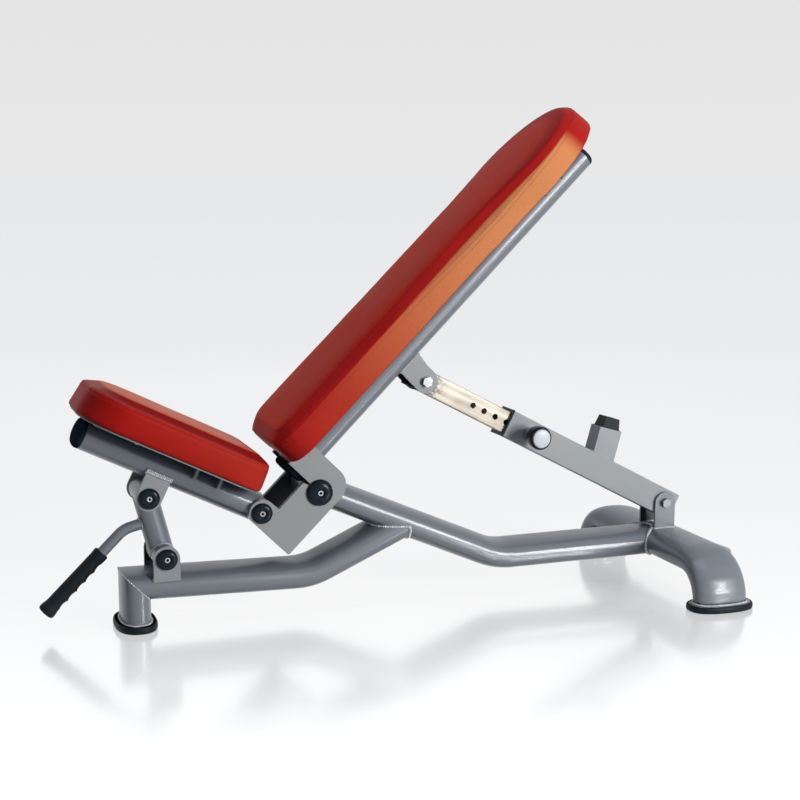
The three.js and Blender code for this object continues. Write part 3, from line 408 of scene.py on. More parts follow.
def chromeMaterial():
    material, tree, shader, place = startMaterial("brightSteel", Metallic=1.0)
    spot = place.outputs["Object"]
    grain = useGroup(tree, grainGroup, Place=spot, Scale=700.0, Sharpness=0.5)
    mottle = useGroup(tree, mottleGroup, Place=spot, Scale=60.0)
    wear = useGroup(tree, wearGroup, Place=spot, Width=0.0006, Amount=0.7)
    tone = mixColor(tree, mottle.outputs["Value"], steelTones["dull"], steelTones["clear"])
    tone = mixColor(tree, wear.outputs["Mask"], tone, steelTones["rubbed"])
    wire(tree, tone, shader.inputs["Base Color"])
    wire(tree, rampNode(tree, grain.outputs["Fleck"], 0, 1, 0.2, 0.3), shader.inputs["Roughness"])
    bumpNode(tree, shader, grain.outputs["Height"], 0.05, 0.0002)
    return material


brightSteel = chromeMaterial()


def mouldedMaterial(name, look):
    material, tree, shader, place = startMaterial(name, Specular_IOR_Level=look["specular"])
    spot = place.outputs["Object"]
    grain = useGroup(tree, grainGroup, Place=spot, Scale=look["grainScale"], Sharpness=0.7)
    mottle = useGroup(tree, mottleGroup, Place=spot, Scale=20.0)
    wear = useGroup(tree, wearGroup, Place=spot, Width=0.001, Amount=look["wear"])
    dust = useGroup(tree, dustGroup, Place=spot, Facing=place.outputs["Normal"], Amount=look["dust"])
    tone = mixColor(tree, mottle.outputs["Value"], look["dark"], look["light"])
    tone = mixColor(tree, wear.outputs["Mask"], tone, look["bare"])
    tone = mixColor(tree, dust.outputs["Mask"], tone, look["dustTone"])
    wire(tree, tone, shader.inputs["Base Color"])
    rough = rampNode(tree, grain.outputs["Fleck"], 0, 1, look["rough"] - 0.04, look["rough"] + 0.05)
    wire(tree, rough, shader.inputs["Roughness"])
    bumpNode(tree, shader, grain.outputs["Height"], look["bump"], 0.0003)
    return material


# the bluish tint of the black plastic is a painted reflection
blackPlastic = mouldedMaterial("blackPlastic", dict(
    dark=(0.005, 0.011, 0.018), light=(0.009, 0.018, 0.027), bare=(0.03, 0.036, 0.042),
    dustTone=(0.09, 0.095, 0.1), specular=0.12, rough=0.2, grainScale=900.0, bump=0.04, wear=0.3, dust=0.06,
))
# painted reflection: the plugs have no specular, so a lighter bluish black stands in for their sheen
plugPlastic = mouldedMaterial("plugPlastic", dict(
    dark=(0.018, 0.030, 0.046), light=(0.026, 0.042, 0.062), bare=(0.05, 0.06, 0.07),
    dustTone=(0.04, 0.045, 0.05), specular=0.0, rough=0.5, grainScale=900.0, bump=0.06, wear=0.3, dust=0.05,
))
blackRubber = mouldedMaterial("blackRubber", dict(
    dark=(0.004, 0.009, 0.013), light=(0.008, 0.014, 0.019), bare=(0.02, 0.024, 0.028),
    dustTone=(0.07, 0.075, 0.08), specular=0.14, rough=0.5, grainScale=700.0, bump=0.2, wear=0.25, dust=0.06,
))
knobWhite = mouldedMaterial("knobWhite", dict(
    dark=(0.62, 0.67, 0.72), light=(0.70, 0.75, 0.80), bare=(0.85, 0.86, 0.88),
    dustTone=(0.5, 0.5, 0.5), specular=0.3, rough=0.3, grainScale=600.0, bump=0.03, wear=0.2, dust=0.05,
))

creaseShadeRed = (0.24, 0.006, 0.007)


def vinylMaterial(name, look):
    material, tree, shader, place = startMaterial(
        name, Specular_IOR_Level=look["specular"], Sheen_Weight=look["sheen"], Sheen_Roughness=0.35
    )
    shader.inputs["Specular Tint"].default_value = (1.0, 0.75, 0.5, 1)
    shader.inputs["Sheen Tint"].default_value = (1.0, 0.42, 0.22, 1)
    spot = place.outputs["Object"]
    pebble = useGroup(tree, pebbleGroup, Place=spot, Scale=700.0)
    mottle = useGroup(tree, mottleGroup, Place=spot, Scale=11.0)
    turn = newNode(tree, "ShaderNodeMapping", vector_type="TEXTURE")
    wire(tree, spot, turn.inputs["Vector"])
    turn.inputs["Location"].default_value = look["place"].to_translation()
    turn.inputs["Rotation"].default_value = look["place"].to_euler()
    ways = newNode(tree, "ShaderNodeSeparateXYZ")
    wire(tree, turn.outputs["Vector"], ways.inputs[0])
    # side band, bevel and face get their own tones, and these carry painted light: a painted highlight up the
    # back band's head end, painted reflection on both faces and on the back's bevel, painted shade on the
    # seat's bevel
    aside = mathNode(tree, "ABSOLUTE", ways.outputs["Y"])
    alongPad = rampNode(tree, ways.outputs["X"], *look["fadeAlong"])
    faded = mathNode(tree, "MULTIPLY", alongPad, rampNode(tree, aside, *look["fadeAside"]))
    band = mixColor(tree, mottle.outputs["Value"], look["deep"], look["fresh"])
    band = mixColor(tree, faded, band, look["faded"])
    face = mixColor(tree, mottle.outputs["Value"], look["faceDeep"], look["faceFresh"])
    low, high = look["bevelFrom"], look["bevelTo"]
    onBevel = rampNode(tree, ways.outputs["Z"], low - 0.0015, low + 0.0015)
    onFace = rampNode(tree, ways.outputs["Z"], high - 0.0022, high - 0.0006)
    tone = mixColor(tree, onBevel, band, look["bevel"])
    tone = mixColor(tree, onFace, tone, face)
    # the strip just above the pad's floor takes the bevel's tone too: painted shade on the seat, painted
    # reflection on the back
    under = rampNode(tree, ways.outputs["Z"], look["foot"] + 0.0005, look["foot"] + 0.0035, 1.0, 0.0)
    tone = mixColor(tree, under, tone, look["bevel"])
    # painted shade in the creases of the pebble grain
    crease = mathNode(tree, "MULTIPLY", pebble.outputs["Crease"], 0.35)
    tone = mixColor(tree, crease, tone, creaseShadeRed)
    wire(tree, tone, shader.inputs["Base Color"])
    wire(tree, rampNode(tree, mottle.outputs["Value"], 0, 1, 0.4, 0.47), shader.inputs["Roughness"])
    bumpNode(tree, shader, pebble.outputs["Height"], 0.16, 0.0002)
    return material


backVinyl = vinylMaterial("backVinyl", dict(
    deep=(0.46, 0.014, 0.013), fresh=(0.50, 0.024, 0.018), faded=(0.75, 0.290, 0.115),
    bevel=(0.56, 0.019, 0.017), faceDeep=(0.73, 0.034, 0.016), faceFresh=(0.79, 0.046, 0.020),
    sheen=0.10, specular=0.022, place=backPlace, fadeAlong=(0.02, 0.60), fadeAside=(0.088, 0.1065),
    foot=0.0765, bevelFrom=0.121, bevelTo=0.1372,
))
seatVinyl = vinylMaterial("seatVinyl", dict(
    deep=(0.44, 0.010, 0.010), fresh=(0.49, 0.014, 0.013), faded=(0.50, 0.030, 0.018),
    bevel=(0.25, 0.005, 0.006), faceDeep=(0.61, 0.105, 0.048), faceFresh=(0.67, 0.130, 0.060),
    sheen=0.14, specular=0.05, place=seatPlace, fadeAlong=(-0.35, 0.0), fadeAside=(0.088, 0.106),
    foot=0.0322, bevelFrom=0.0802, bevelTo=0.0912,
))


threadTones = ((0.20, 0.008, 0.010), (0.34, 0.016, 0.018))


def threadMaterial():
    material, tree, shader, place = startMaterial("redThread", Sheen_Weight=0.3, Sheen_Roughness=0.4)
    spot = place.outputs["Object"]
    twist = useGroup(tree, grainGroup, Place=spot, Scale=2400.0, Sharpness=0.9)
    tone = mixColor(tree, twist.outputs["Fleck"], *threadTones)
    wire(tree, tone, shader.inputs["Base Color"])
    wire(tree, rampNode(tree, twist.outputs["Fleck"], 0, 1, 0.55, 0.7), shader.inputs["Roughness"])
    bumpNode(tree, shader, twist.outputs["Height"], 0.4, 0.0002)
    return material


redThread = threadMaterial()


plyLook = dict(
    dark=(0.23, 0.14, 0.075), light=(0.42, 0.28, 0.16), glue=(0.12, 0.07, 0.04), pliesPerMetre=330.0,
)


def plyMaterial(name, turnBy):
    material, tree, shader, place = startMaterial(name, Specular_IOR_Level=0.3)
    turn = newNode(tree, "ShaderNodeMapping")
    wire(tree, place.outputs["Object"], turn.inputs["Vector"])
    turn.inputs["Rotation"].default_value = (0, turnBy, 0)
    drawn = useGroup(tree, drawnGroup, Place=turn.outputs["Vector"], Stretch=0.06, Scale=260.0)
    split = newNode(tree, "ShaderNodeSeparateXYZ")
    wire(tree, turn.outputs["Vector"], split.inputs[0])
    plies = mathNode(tree, "FRACT", mathNode(tree, "MULTIPLY", split.outputs["Z"], plyLook["pliesPerMetre"]))
    tone = mixColor(tree, drawn.outputs["Height"], plyLook["dark"], plyLook["light"])
    tone = mixColor(tree, rampNode(tree, plies, 0.42, 0.5, 0.0, 0.25), tone, plyLook["glue"])
    wire(tree, tone, shader.inputs["Base Color"])
    wire(tree, rampNode(tree, drawn.outputs["Streak"], 0, 1, 0.55, 0.7), shader.inputs["Roughness"])
    bumpNode(tree, shader, drawn.outputs["Height"], 0.25, 0.0004)
    return material


backPly = plyMaterial("backPlywood", backTilt)
seatPly = plyMaterial("seatPlywood", -seatTilt)
print("materials made")

slotMaterials = {
    "frame_paint": framePaint,
    "plate_paint": platePaint,
    "zinc_tube": zincTube,
    "bright_hardware": brightSteel,
    "black_plastic": blackPlastic,
    "black_rubber": blackRubber,
    "knob_cap_plastic": knobWhite,
    "red_vinyl": backVinyl,
    "plywood": backPly,
}

# every CAD node starts with its slot's finish; most then get a softened copy
slotOf = {}
for name, cad in nodes.items():
    slotOf[name] = cad.data.materials[0].name.split(".")[0]
    cad.data.materials[0] = slotMaterials[slotOf[name]]
nodes["seat_board"].data.materials[0] = seatPly


# making pieces

def addPiece(name, shape, body, slot, material=None, standsFor=(), sharp=50.0, weighted=True):
    bmesh.ops.recalc_face_normals(shape, faces=shape.faces)
    mesh = bpy.data.meshes.new(name)
    shape.to_mesh(mesh)
    shape.free()
    mesh.materials.append(material or slotMaterials[slot])
    mesh.shade_smooth()
    mesh.set_sharp_from_angle(angle=math.radians(sharp))
    piece = bpy.data.objects.new(name, mesh)
    bpy.context.scene.collection.objects.link(piece)
    if weighted:
        even = piece.modifiers.new("evenNormals", "WEIGHTED_NORMAL")
        even.keep_sharp = True
    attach(piece, body)
    if standsFor:
        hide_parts(*standsFor)
    return piece


def cadCopy(node, flatten=True):
    shape = bmesh.new()
    shape.from_mesh(nodes[node].data)
    bmesh.ops.remove_doubles(shape, verts=shape.verts, dist=2e-6)
    if flatten:
        bmesh.ops.dissolve_limit(
            shape, angle_limit=math.radians(0.5), verts=shape.verts, edges=shape.edges,
            use_dissolve_boundaries=False,
        )
    return shape


def roundEdges(shape, width, segments=2, above=40.0, wanted=lambda edge: True):
    limit = math.radians(above)
    edges = [e for e in shape.edges if len(e.link_faces) == 2 and e.calc_face_angle(0) > limit and wanted(e)]
    if edges:
        bmesh.ops.bevel(
            shape, geom=edges, offset=width, offset_type="OFFSET", affect="EDGES", segments=segments,
            profile=0.5, material=-1, clamp_overlap=True,
        )


def soften(node, width, segments=2, cornerWidth=None, cornerLong=0.1, material=None):
    shape = cadCopy(node)
    if cornerWidth:
        roundEdges(shape, cornerWidth, 3, 60.0, lambda e: e.calc_length() > cornerLong and e.is_convex)
    roundEdges(shape, width, segments)
    addPiece(pieceName(node), shape, bodyOf(node), slotOf[node], material, (node,))


def lathe(profile, steps, place):
    # profile is (radius, height) pairs, turned about the place's Z
    shape = bmesh.new()
    verts = [shape.verts.new((r, 0, h)) for r, h in profile]
    edges = [shape.edges.new(pair) for pair in zip(verts, verts[1:])]
    bmesh.ops.spin(
        shape, geom=verts + edges, cent=(0, 0, 0), axis=(0, 0, 1), dvec=(0, 0, 0),
        angle=math.tau, steps=steps, use_merge=True, use_duplicate=False,
    )
    bmesh.ops.remove_doubles(shape, verts=shape.verts, dist=1e-6)
    bmesh.ops.transform(shape, matrix=place, verts=shape.verts)
    return shape


def relax(shape, rounds):
    for _ in range(rounds):
        bmesh.ops.smooth_vert(
            shape, verts=shape.verts, factor=0.5, use_axis_x=True, use_axis_y=True, use_axis_z=True
        )


def sidePlace(x, y, z, side):
    # Z of the piece points out to that side of the bench
    return Matrix.Translation((x, y, z)) @ Matrix.Rotation(math.radians(90 if side < 0 else -90), 4, "X")


tubeLook = dict(edge=0.0008)
for node in ("front_post", "lower_rail", "upper_rail", "back_tube", "seat_tube", "link_tube", "handle_rod"):
    soften(node, tubeLook["edge"])

plateLook = dict(plate=0.0012, ear=0.0008, strap=0.0008)
for node in ("plate_near", "plate_far"):
    soften(node, plateLook["plate"], 3)
for node in ("link_ear_near", "link_ear_far", "clevis_ear_near", "clevis_ear_far"):
    soften(node, plateLook["ear"])
for node in ("seat_ear_near", "seat_ear_far"):
    soften(node, plateLook["ear"], material=seatEarPaint)
for node in ("strut_ear_near", "strut_ear_far"):
    soften(node, plateLook["ear"], material=earPaint)
flanges = ("front_flange", "rear_flange_near", "rear_flange_far")
padBrackets = ("pad_bracket_upper", "pad_bracket_lower")
for node in (*padBrackets, "seat_plate", *flanges):
    soften(node, plateLook["strap"])

squareLook = dict(corner=0.0022, innerCorner=0.0025, edge=0.0004, postCorner=0.0025)
soften("strut_outer", squareLook["edge"], 2, squareLook["corner"], 0.2)
soften("strut_inner", squareLook["edge"], 2, squareLook["innerCorner"], 0.2)
soften("stop_post", squareLook["edge"], 2, squareLook["postCorner"], 0.03)
softLook = dict(collar=0.0008, bumper=0.0018)
soften("strut_collar", softLook["collar"])
soften("stop_bumper", softLook["bumper"], 3)

boltLook = dict(socket=0.0031, edge=0.0004, painted=0.0008, bright=0.0005)


def socketBolt(node):
    # painted shade: the hexagon sockets in the bolt ends take black plastic, standing in for the shade in
    # their recesses
    shape = cadCopy(node)
    low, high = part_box(node)
    x, z = (low.x + high.x) / 2, (low.z + high.z) / 2
    for face in shape.faces:
        if all(math.hypot(v.co.x - x, v.co.z - z) < boltLook["socket"] for v in face.verts):
            face.material_index = 1
    roundEdges(shape, boltLook["edge"])
    piece = addPiece(pieceName(node), shape, bodyOf(node), slotOf[node], standsFor=(node,))
    piece.data.materials.append(blackPlastic)


for node in (
    "main_bolt", "seat_pivot_bolt", "link_lower_bolt", "link_upper_bolt_near", "link_upper_bolt_far",
):
    socketBolt(node)
for node in ("strut_bolt", "strut_nut"):
    soften(node, boltLook["painted"], material=framePaint)
for node in ("clevis_bolt", "clevis_nut", "pin_barrel", "pop_pin"):
    soften(node, boltLook["bright"])
for node in ("back_tube_plug", "seat_tube_plug"):
    soften(node, boltLook["bright"], material=plugPlastic)

boardLook = dict(turnedIn=0.020, edge=0.001)


def backingBoard(node, place, material):
    # the cover turns in under the board, so bare ply shows only inside that margin
    shape = cadCopy(node)
    bmesh.ops.transform(shape, matrix=place.inverted(), verts=shape.verts)
    xs, ys = [v.co.x for v in shape.verts], [v.co.y for v in shape.verts]
    middle = (max(xs) + min(xs)) / 2
    across = 1 - 2 * boardLook["turnedIn"] / (max(ys) - min(ys))
    along = 1 - 2 * boardLook["turnedIn"] / (max(xs) - min(xs))
    for vert in shape.verts:
        vert.co.x = middle + (vert.co.x - middle) * along
        vert.co.y *= across
    bmesh.ops.transform(shape, matrix=place, verts=shape.verts)
    roundEdges(shape, boardLook["edge"])
    addPiece(pieceName(node), shape, bodyOf(node), slotOf[node], material, (node,))


backingBoard("back_board", backPlace, backPly)
backingBoard("seat_board", seatPlace, seatPly)
print("softened CAD shapes made")

# the rear tube's swollen elbows flow into it
elbowLook = dict(
    voxel=0.0028, smoothing=8, bump=0.0075, bumpReach=0.017, bumpAt=(1.045, 0.166, 0.078),
    bumpWay=(0.8, 0, 0.6),
)


def flowingStabilizer():
    shape = cadCopy("stabilizer", flatten=False)
    mesh = bpy.data.meshes.new("stabilizerShape")
    shape.to_mesh(mesh)
    shape.free()
    draft = bpy.data.objects.new("stabilizerShape", mesh)
    bpy.context.scene.collection.objects.link(draft)
    remesh = draft.modifiers.new("even", "REMESH")
    remesh.mode = "VOXEL"
    remesh.voxel_size = elbowLook["voxel"]
    even = draft.evaluated_get(bpy.context.evaluated_depsgraph_get()).to_mesh()
    shape = bmesh.new()
    shape.from_mesh(even)
    bpy.data.objects.remove(draft)
    relax(shape, elbowLook["smoothing"])
    # the forming tool leaves a low swelling behind each elbow
    for side in (-1, 1):
        x, y, z = elbowLook["bumpAt"]
        centre = Vector((x, side * y, z))
        for vert in shape.verts:
            near = math.exp(-((vert.co - centre).length / elbowLook["bumpReach"]) ** 2)
            vert.co += Vector(elbowLook["bumpWay"]) * (elbowLook["bump"] * near)
    addPiece("stabilizerTube", shape, "base", "frame_paint", standsFor=("stabilizer",), weighted=False)


flowingStabilizer()

# domed caps over the pivot bolts
capLook = dict(hole=0.0050, lip=0.0032, recess=0.0020, edge=0.0018, power=0.8, domeSteps=10, steps=56)


def domedCap(node):
    low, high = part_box(node)
    side = -1 if low.y < 0 else 1
    radius = (high.x - low.x) / 2
    rise = high.y - low.y
    foot = high.y if side < 0 else low.y
    lip = capLook["hole"] + capLook["lip"]
    profile = [(capLook["hole"], 0), (radius - 0.0006, 0), (radius, 0.0006), (radius, capLook["edge"])]
    for k in range(1, capLook["domeSteps"] + 1):
        turn = math.radians(90 * k / capLook["domeSteps"])
        profile.append((lip + (radius - lip) * math.cos(turn) ** capLook["power"],
                        capLook["edge"] + (rise - capLook["edge"]) * math.sin(turn)))
    profile += [
        (lip - 0.0005, rise - 0.0002),
        (lip - 0.0010, rise - 0.0008),
        (lip - 0.0014, rise - capLook["recess"]),
        (capLook["hole"], rise - capLook["recess"]),
        (capLook["hole"], 0),
    ]
    place = sidePlace((low.x + high.x) / 2, foot, (low.z + high.z) / 2, side)
    shape = lathe(profile, capLook["steps"], place)
    addPiece(pieceName(node), shape, bodyOf(node), "black_plastic", standsFor=(node,))


for node in sorted(nodes):
    if "_cap_" in node:
        domedCap(node)
print("pivot caps made")

# rubber feet with the tube's flange let into them
ovalTube = dict(wide=0.050, thin=0.025, power=2.5)
footLook = dict(rim=0.0106, recessRim=0.0072, high=0.012, floor=0.0088, sides=96)


def ovalEdges(shape, halfU, halfV, sides, spot):
    # a rounded oval like the frame tube's section; spot turns its two measures into a place
    ring = bmesh.ops.create_circle(shape, cap_ends=False, segments=sides, radius=1.0)["verts"]
    power = 2 / ovalTube["power"]
    for vert in ring:
        u, v = vert.co.x, vert.co.y
        vert.co = spot(halfU * math.copysign(abs(u) ** power, u), halfV * math.copysign(abs(v) ** power, v))
    return [e for e in shape.edges if all(v in ring for v in e.verts)]


def ovalRing(shape, centre, alongX, rim, z):
    halfX = (ovalTube["wide"] if alongX else ovalTube["thin"]) + rim
    halfY = (ovalTube["thin"] if alongX else ovalTube["wide"]) + rim
    return ovalEdges(shape, halfX, halfY, footLook["sides"], lambda u, v: centre + Vector((u, v, z)))


def skinRings(shape, rings):
    for first, second in zip(rings, rings[1:]):
        bmesh.ops.bridge_loops(shape, edges=first + second)
    bmesh.ops.contextual_create(shape, geom=rings[0])
    bmesh.ops.contextual_create(shape, geom=rings[-1])


def rubberFoot(node):
    low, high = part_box(node)
    centre = Vector(((low.x + high.x) / 2, (low.y + high.y) / 2, 0))
    alongX = high.x - low.x > high.y - low.y
    rim, top = footLook["rim"], footLook["high"]
    sections = [(rim - 0.0030, 0.0), (rim - 0.0009, 0.0009), (rim, 0.0030), (rim + 0.0002, 0.0060),
                (rim - 0.0001, 0.0090), (rim - 0.0009, 0.0111), (rim - 0.0020, top),
                (footLook["recessRim"] + 0.0004, top), (footLook["recessRim"], top - 0.0004),
                (footLook["recessRim"], footLook["floor"])]
    shape = bmesh.new()
    skinRings(shape, [ovalRing(shape, centre, alongX, out, z) for out, z in sections])
    addPiece(pieceName(node), shape, "base", "black_rubber", standsFor=(node,))


for node in ("front_foot", "rear_foot_near", "rear_foot_far"):
    rubberFoot(node)
print("rubber feet made")

# the grip on the carrying handle, with finger grooves
gripLook = dict(
    long=0.131, end=0.005, radius=0.0128, flare=0.0148, bore=0.0098, fingers=5, ringsPerFinger=14,
    groove=0.0026, crest=0.0012, grooveFrom=0.0145, grooveTo=0.0120, steps=48,
)
rodLook = dict(up=0.0593, forward=0.0493, slope=math.radians(30.2), long=0.183)
rodBend = lowLinkPin + linkUp * rodLook["up"] - linkRear * rodLook["forward"]
rodWay = -(linkRear * math.cos(rodLook["slope"]) + linkUp * math.sin(rodLook["slope"]))
rodEnd = rodBend + rodWay * rodLook["long"]


def handleGrip():
    flare, radius, length = gripLook["flare"], gripLook["radius"], gripLook["long"]
    foot = -gripLook["end"]
    profile = [(0, foot), (flare - 0.0050, foot), (flare - 0.0022, foot + 0.0008),
               (flare - 0.0006, foot + 0.0026), (flare, 0.0010), (flare - 0.0003, 0.0050),
               (flare - 0.0012, 0.0090), (radius + 0.0002, 0.0140)]
    first, last = gripLook["grooveFrom"], length - gripLook["grooveTo"]
    count = gripLook["ringsPerFinger"] * gripLook["fingers"]
    for k in range(count + 1):
        profile.append((radius, first + (last - first) * k / count))
    profile += [(radius + 0.0003, length - 0.0100), (radius + 0.0006, length - 0.0050),
                (radius + 0.0003, length - 0.0012), (radius - 0.0012, length), (gripLook["bore"], length)]
    profile += [(gripLook["bore"], 0.002), (0, 0.002)]
    shape = lathe(profile, gripLook["steps"], Matrix.Identity(4))
    # the fingers press into the side that looks down, with a crest between each two
    for vert in shape.verts:
        if first < vert.co.z < last and math.hypot(vert.co.x, vert.co.y) > radius - 0.0005:
            share = (vert.co.z - first) / (last - first)
            dip = abs(math.sin(math.pi * share * gripLook["fingers"])) ** 0.8
            under = max(0.0, 0.15 + 0.85 * vert.co.x / radius)
            scale = 1 - (gripLook["groove"] * dip - gripLook["crest"]) * under / radius
            vert.co.x *= scale
            vert.co.y *= scale
    up = -rodWay
    down = (Vector((0, 1, 0)).cross(up)).normalized()
    turn = Matrix((down, up.cross(down), up)).transposed().to_4x4()
    bmesh.ops.transform(shape, matrix=Matrix.Translation(rodEnd) @ turn, verts=shape.verts)
    addPiece("handleGrip", shape, bodyOf("handle_grip"), "black_rubber", standsFor=("handle_grip",), sharp=38)


handleGrip()

# pull-pin knob and its pale cap
knobLook = dict(radius=0.021, capSeat=0.0171, steps=72, domeSteps=8)


def pullKnob():
    low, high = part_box("pop_pin_knob")
    x, z = (low.x + high.x) / 2, (low.z + high.z) / 2
    length, radius = high.y - low.y, knobLook["radius"]
    seat = knobLook["capSeat"]
    profile = [
        (0, 0), (radius - 0.0060, 0), (radius - 0.0030, 0.0006), (radius - 0.0009, 0.0024),
        (radius - 0.0002, 0.0050), (radius, 0.0090), (radius, length - 0.0052),
        (radius - 0.0004, length - 0.0030), (radius - 0.0014, length - 0.0010), (radius - 0.0026, length),
        (seat, length), (seat - 0.0002, length - 0.0012), (0, length - 0.0012),
    ]
    shape = lathe(profile, knobLook["steps"], sidePlace(x, high.y, z, -1))
    addPiece("pullKnob", shape, bodyOf("pop_pin_knob"), "black_plastic", standsFor=("pop_pin_knob",))
    low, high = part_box("pop_pin_cap")
    rise, capRadius = high.y - low.y, (high.x - low.x) / 2
    profile = [(0, -0.0008), (capRadius, -0.0008), (capRadius, 0.0010), (capRadius - 0.0003, 0.0017)]
    for k in range(1, knobLook["domeSteps"] + 1):
        turn = math.radians(90 * k / knobLook["domeSteps"])
        profile.append(((capRadius - 0.0008) * math.cos(turn), 0.0018 + (rise - 0.0018) * math.sin(turn)))
    shape = lathe(profile, knobLook["steps"], sidePlace(x, high.y, z, -1))
    addPiece("pullKnobCap", shape, bodyOf("pop_pin_cap"), "knob_cap_plastic", standsFor=("pop_pin_cap",))


pullKnob()
print("grip and knob made")


# weld beads

beadLook = dict(radius=0.0024, pitch=0.0022, flat=0.75, uneven=0.28, ways=48)


def evenPath(points, spacing, closed=True):
    ring = points + [points[0]] if closed else points
    lengths = [(b - a).length for a, b in zip(ring, ring[1:])]
    count = max(2, round(sum(lengths) / spacing))
    result, along, k = [], 0.0, 0
    for step in range(count if closed else count + 1):
        goal = sum(lengths) * step / count
        while k < len(lengths) - 1 and along + lengths[k] < goal:
            along += lengths[k]
            k += 1
        share = min(1.0, (goal - along) / lengths[k]) if lengths[k] else 0
        result.append(ring[k].lerp(ring[k + 1], share))
    return result


def surfaceOf(node):
    shape = cadCopy(node, flatten=False)
    tree = BVHTree.FromBMesh(shape)
    shape.free()
    return tree


def jointLine(node, onto, axis, reach=0.0007, outward=None):
    # corner points of one part that lie on the other, the outermost in each direction about the axis
    tree = surfaceOf(onto)
    shape = cadCopy(node, flatten=False)
    touching = []
    for vert in shape.verts:
        found = tree.find_nearest(vert.co, reach)
        if found[0] is not None:
            touching.append(vert.co.copy())
    shape.free()
    if len(touching) < 3:
        print("no joint line between", node, onto, len(touching))
        return []
    centre = sum(touching, Vector()) / len(touching)
    axis = axis.normalized()
    side = axis.orthogonal().normalized()
    other = axis.cross(side)
    best = {}
    for point in touching:
        arm = point - centre
        a, b = arm.dot(side), arm.dot(other)
        score = arm.dot(outward) if outward is not None else math.hypot(a, b)
        angle = math.atan2(b, a)
        index = round(angle / math.tau * beadLook["ways"]) % beadLook["ways"]
        if index not in best or score > best[index][0]:
            best[index] = (score, angle, point)
    return [entry[2] for entry in sorted(best.values(), key=lambda entry: entry[1])]


def weldBead(name, body, paths, radius=None, pitch=None, slot="frame_paint"):
    radius = radius or beadLook["radius"]
    pitch = pitch or beadLook["pitch"]
    shape = bmesh.new()
    for points, closed in paths:
        if len(points) < 2:
            continue
        line = evenPath(points, pitch, closed)
        count = len(line)
        for k, point in enumerate(line):
            ahead = line[(k + 1) % count] if closed or k < count - 1 else point
            back = line[k - 1] if closed or k else point
            way = (ahead - back).normalized()
            size = radius * (1 + beadLook["uneven"] * noise.noise(point * 700))
            lean = way.to_track_quat("X", "Z").to_matrix().to_4x4()
            squash = Matrix.Diagonal((beadLook["flat"], 1, 1, 1))
            place = Matrix.Translation(point) @ lean @ squash
            bmesh.ops.create_uvsphere(shape, u_segments=8, v_segments=6, radius=size, matrix=place)
    addPiece(name, shape, body, slot, beadPaint, weighted=False, sharp=80)


yWay = Vector((0, 1, 0))
zWay = Vector((0, 0, 1))
strutUp = strutPlace.to_3x3() @ zWay
backOut = backPlace.to_3x3() @ zWay
seatUp = seatPlace.to_3x3() @ zWay


def flangeLine(node):
    low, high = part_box(node)
    centre = Vector(((low.x + high.x) / 2, (low.y + high.y) / 2, 0))
    shape = bmesh.new()
    ovalRing(shape, centre, high.x - low.x > high.y - low.y, 0.0004, high.z + 0.0004)
    points = [v.co.copy() for v in shape.verts]
    shape.free()
    middle = sum(points, Vector()) / len(points)
    return sorted(points, key=lambda p: math.atan2(p.y - middle.y, p.x - middle.x))


def seatEarTop(side, z, y):
    # the ear's bent-in top runs level along the seat tube
    points = []
    for k in range(-10, 11):
        x = seatEarLook["middle"] + seatEarLook["half"] * k / 10
        points.append(seatPlace @ Vector((x, side * y, z)))
    return points


def hubArc(side):
    # where the upright tube meets the cross hub at its foot
    half, tube, hub = hubLook["half"], hubLook["tube"], hubLook["hub"]
    points = []
    for k in range(hubLook["steps"] + 1):
        x = half * (2 * k / hubLook["steps"] - 1)
        y = side * math.sqrt(tube ** 2 - x * x)
        z = math.sqrt(hub ** 2 - x * x)
        points.append(lowLinkPin + linkRear * x + linkUp * z + yWay * y)
    return points


def bothSides(stem, onto, axis, **how):
    return [(jointLine(stem + side, onto, axis, **how), True) for side in ("_near", "_far")]


seatEarLook = dict(middle=-0.184, half=0.0218, rows=((-0.0104, 0.0497), (-0.0068, 0.0502)))
hubLook = dict(half=0.0198, tube=0.0212, hub=0.0200, steps=24)
xWay = Vector((1, 0, 0))
weldBead("footWelds", "base", [(flangeLine(node), True) for node in flanges])
weldBead("branchWeld", "base", [
    (jointLine("lower_rail", "upper_rail", Vector((1, 0, 0.4))), True),
], radius=0.0036, pitch=0.0030)
weldBead("crossWeld", "base", [
    (jointLine("upper_rail", "stabilizer", xWay), True),
], radius=0.0034, pitch=0.0030)
weldBead("mitreWeld", "base", [
    (jointLine("front_post", "lower_rail", Vector((1, 0, 1))), True),
], radius=0.0011, pitch=0.0012)
weldBead("linkEarWelds", "base", bothSides("link_ear", "lower_rail", zWay), radius=0.0020)
weldBead("strutEarWelds", "base", bothSides("strut_ear", "stabilizer", zWay))
weldBead("clevisEarWelds", "backrest", bothSides("clevis_ear", "back_tube", backOut), radius=0.0020)
weldBead("seatEarWelds", "seat", bothSides("seat_ear", "seat_tube", seatUp), radius=0.0022)
weldBead("seatEarTopWelds", "seat", [
    (seatEarTop(side, z, y), False) for side in (-1, 1) for z, y in seatEarLook["rows"]
], radius=0.0030, pitch=0.0032)
weldBead("padBracketWelds", "backrest", [
    (jointLine(node, "back_tube", backOut, reach=0.003), True) for node in padBrackets
], radius=0.0020)
weldBead("handleWeld", "front_link", [
    (jointLine("link_tube", "handle_rod", linkRear, outward=-linkRear), True),
], radius=0.0018)
weldBead("stopPostWeld", "strut_outer", [
    (jointLine("stop_post", "strut_outer", strutUp), True),
], radius=0.0016, slot="plate_paint")
weldBead("linkHubWelds", "front_link", [(hubArc(-1), False), (hubArc(1), False)], radius=0.0019)
print("weld beads made")

# upholstery

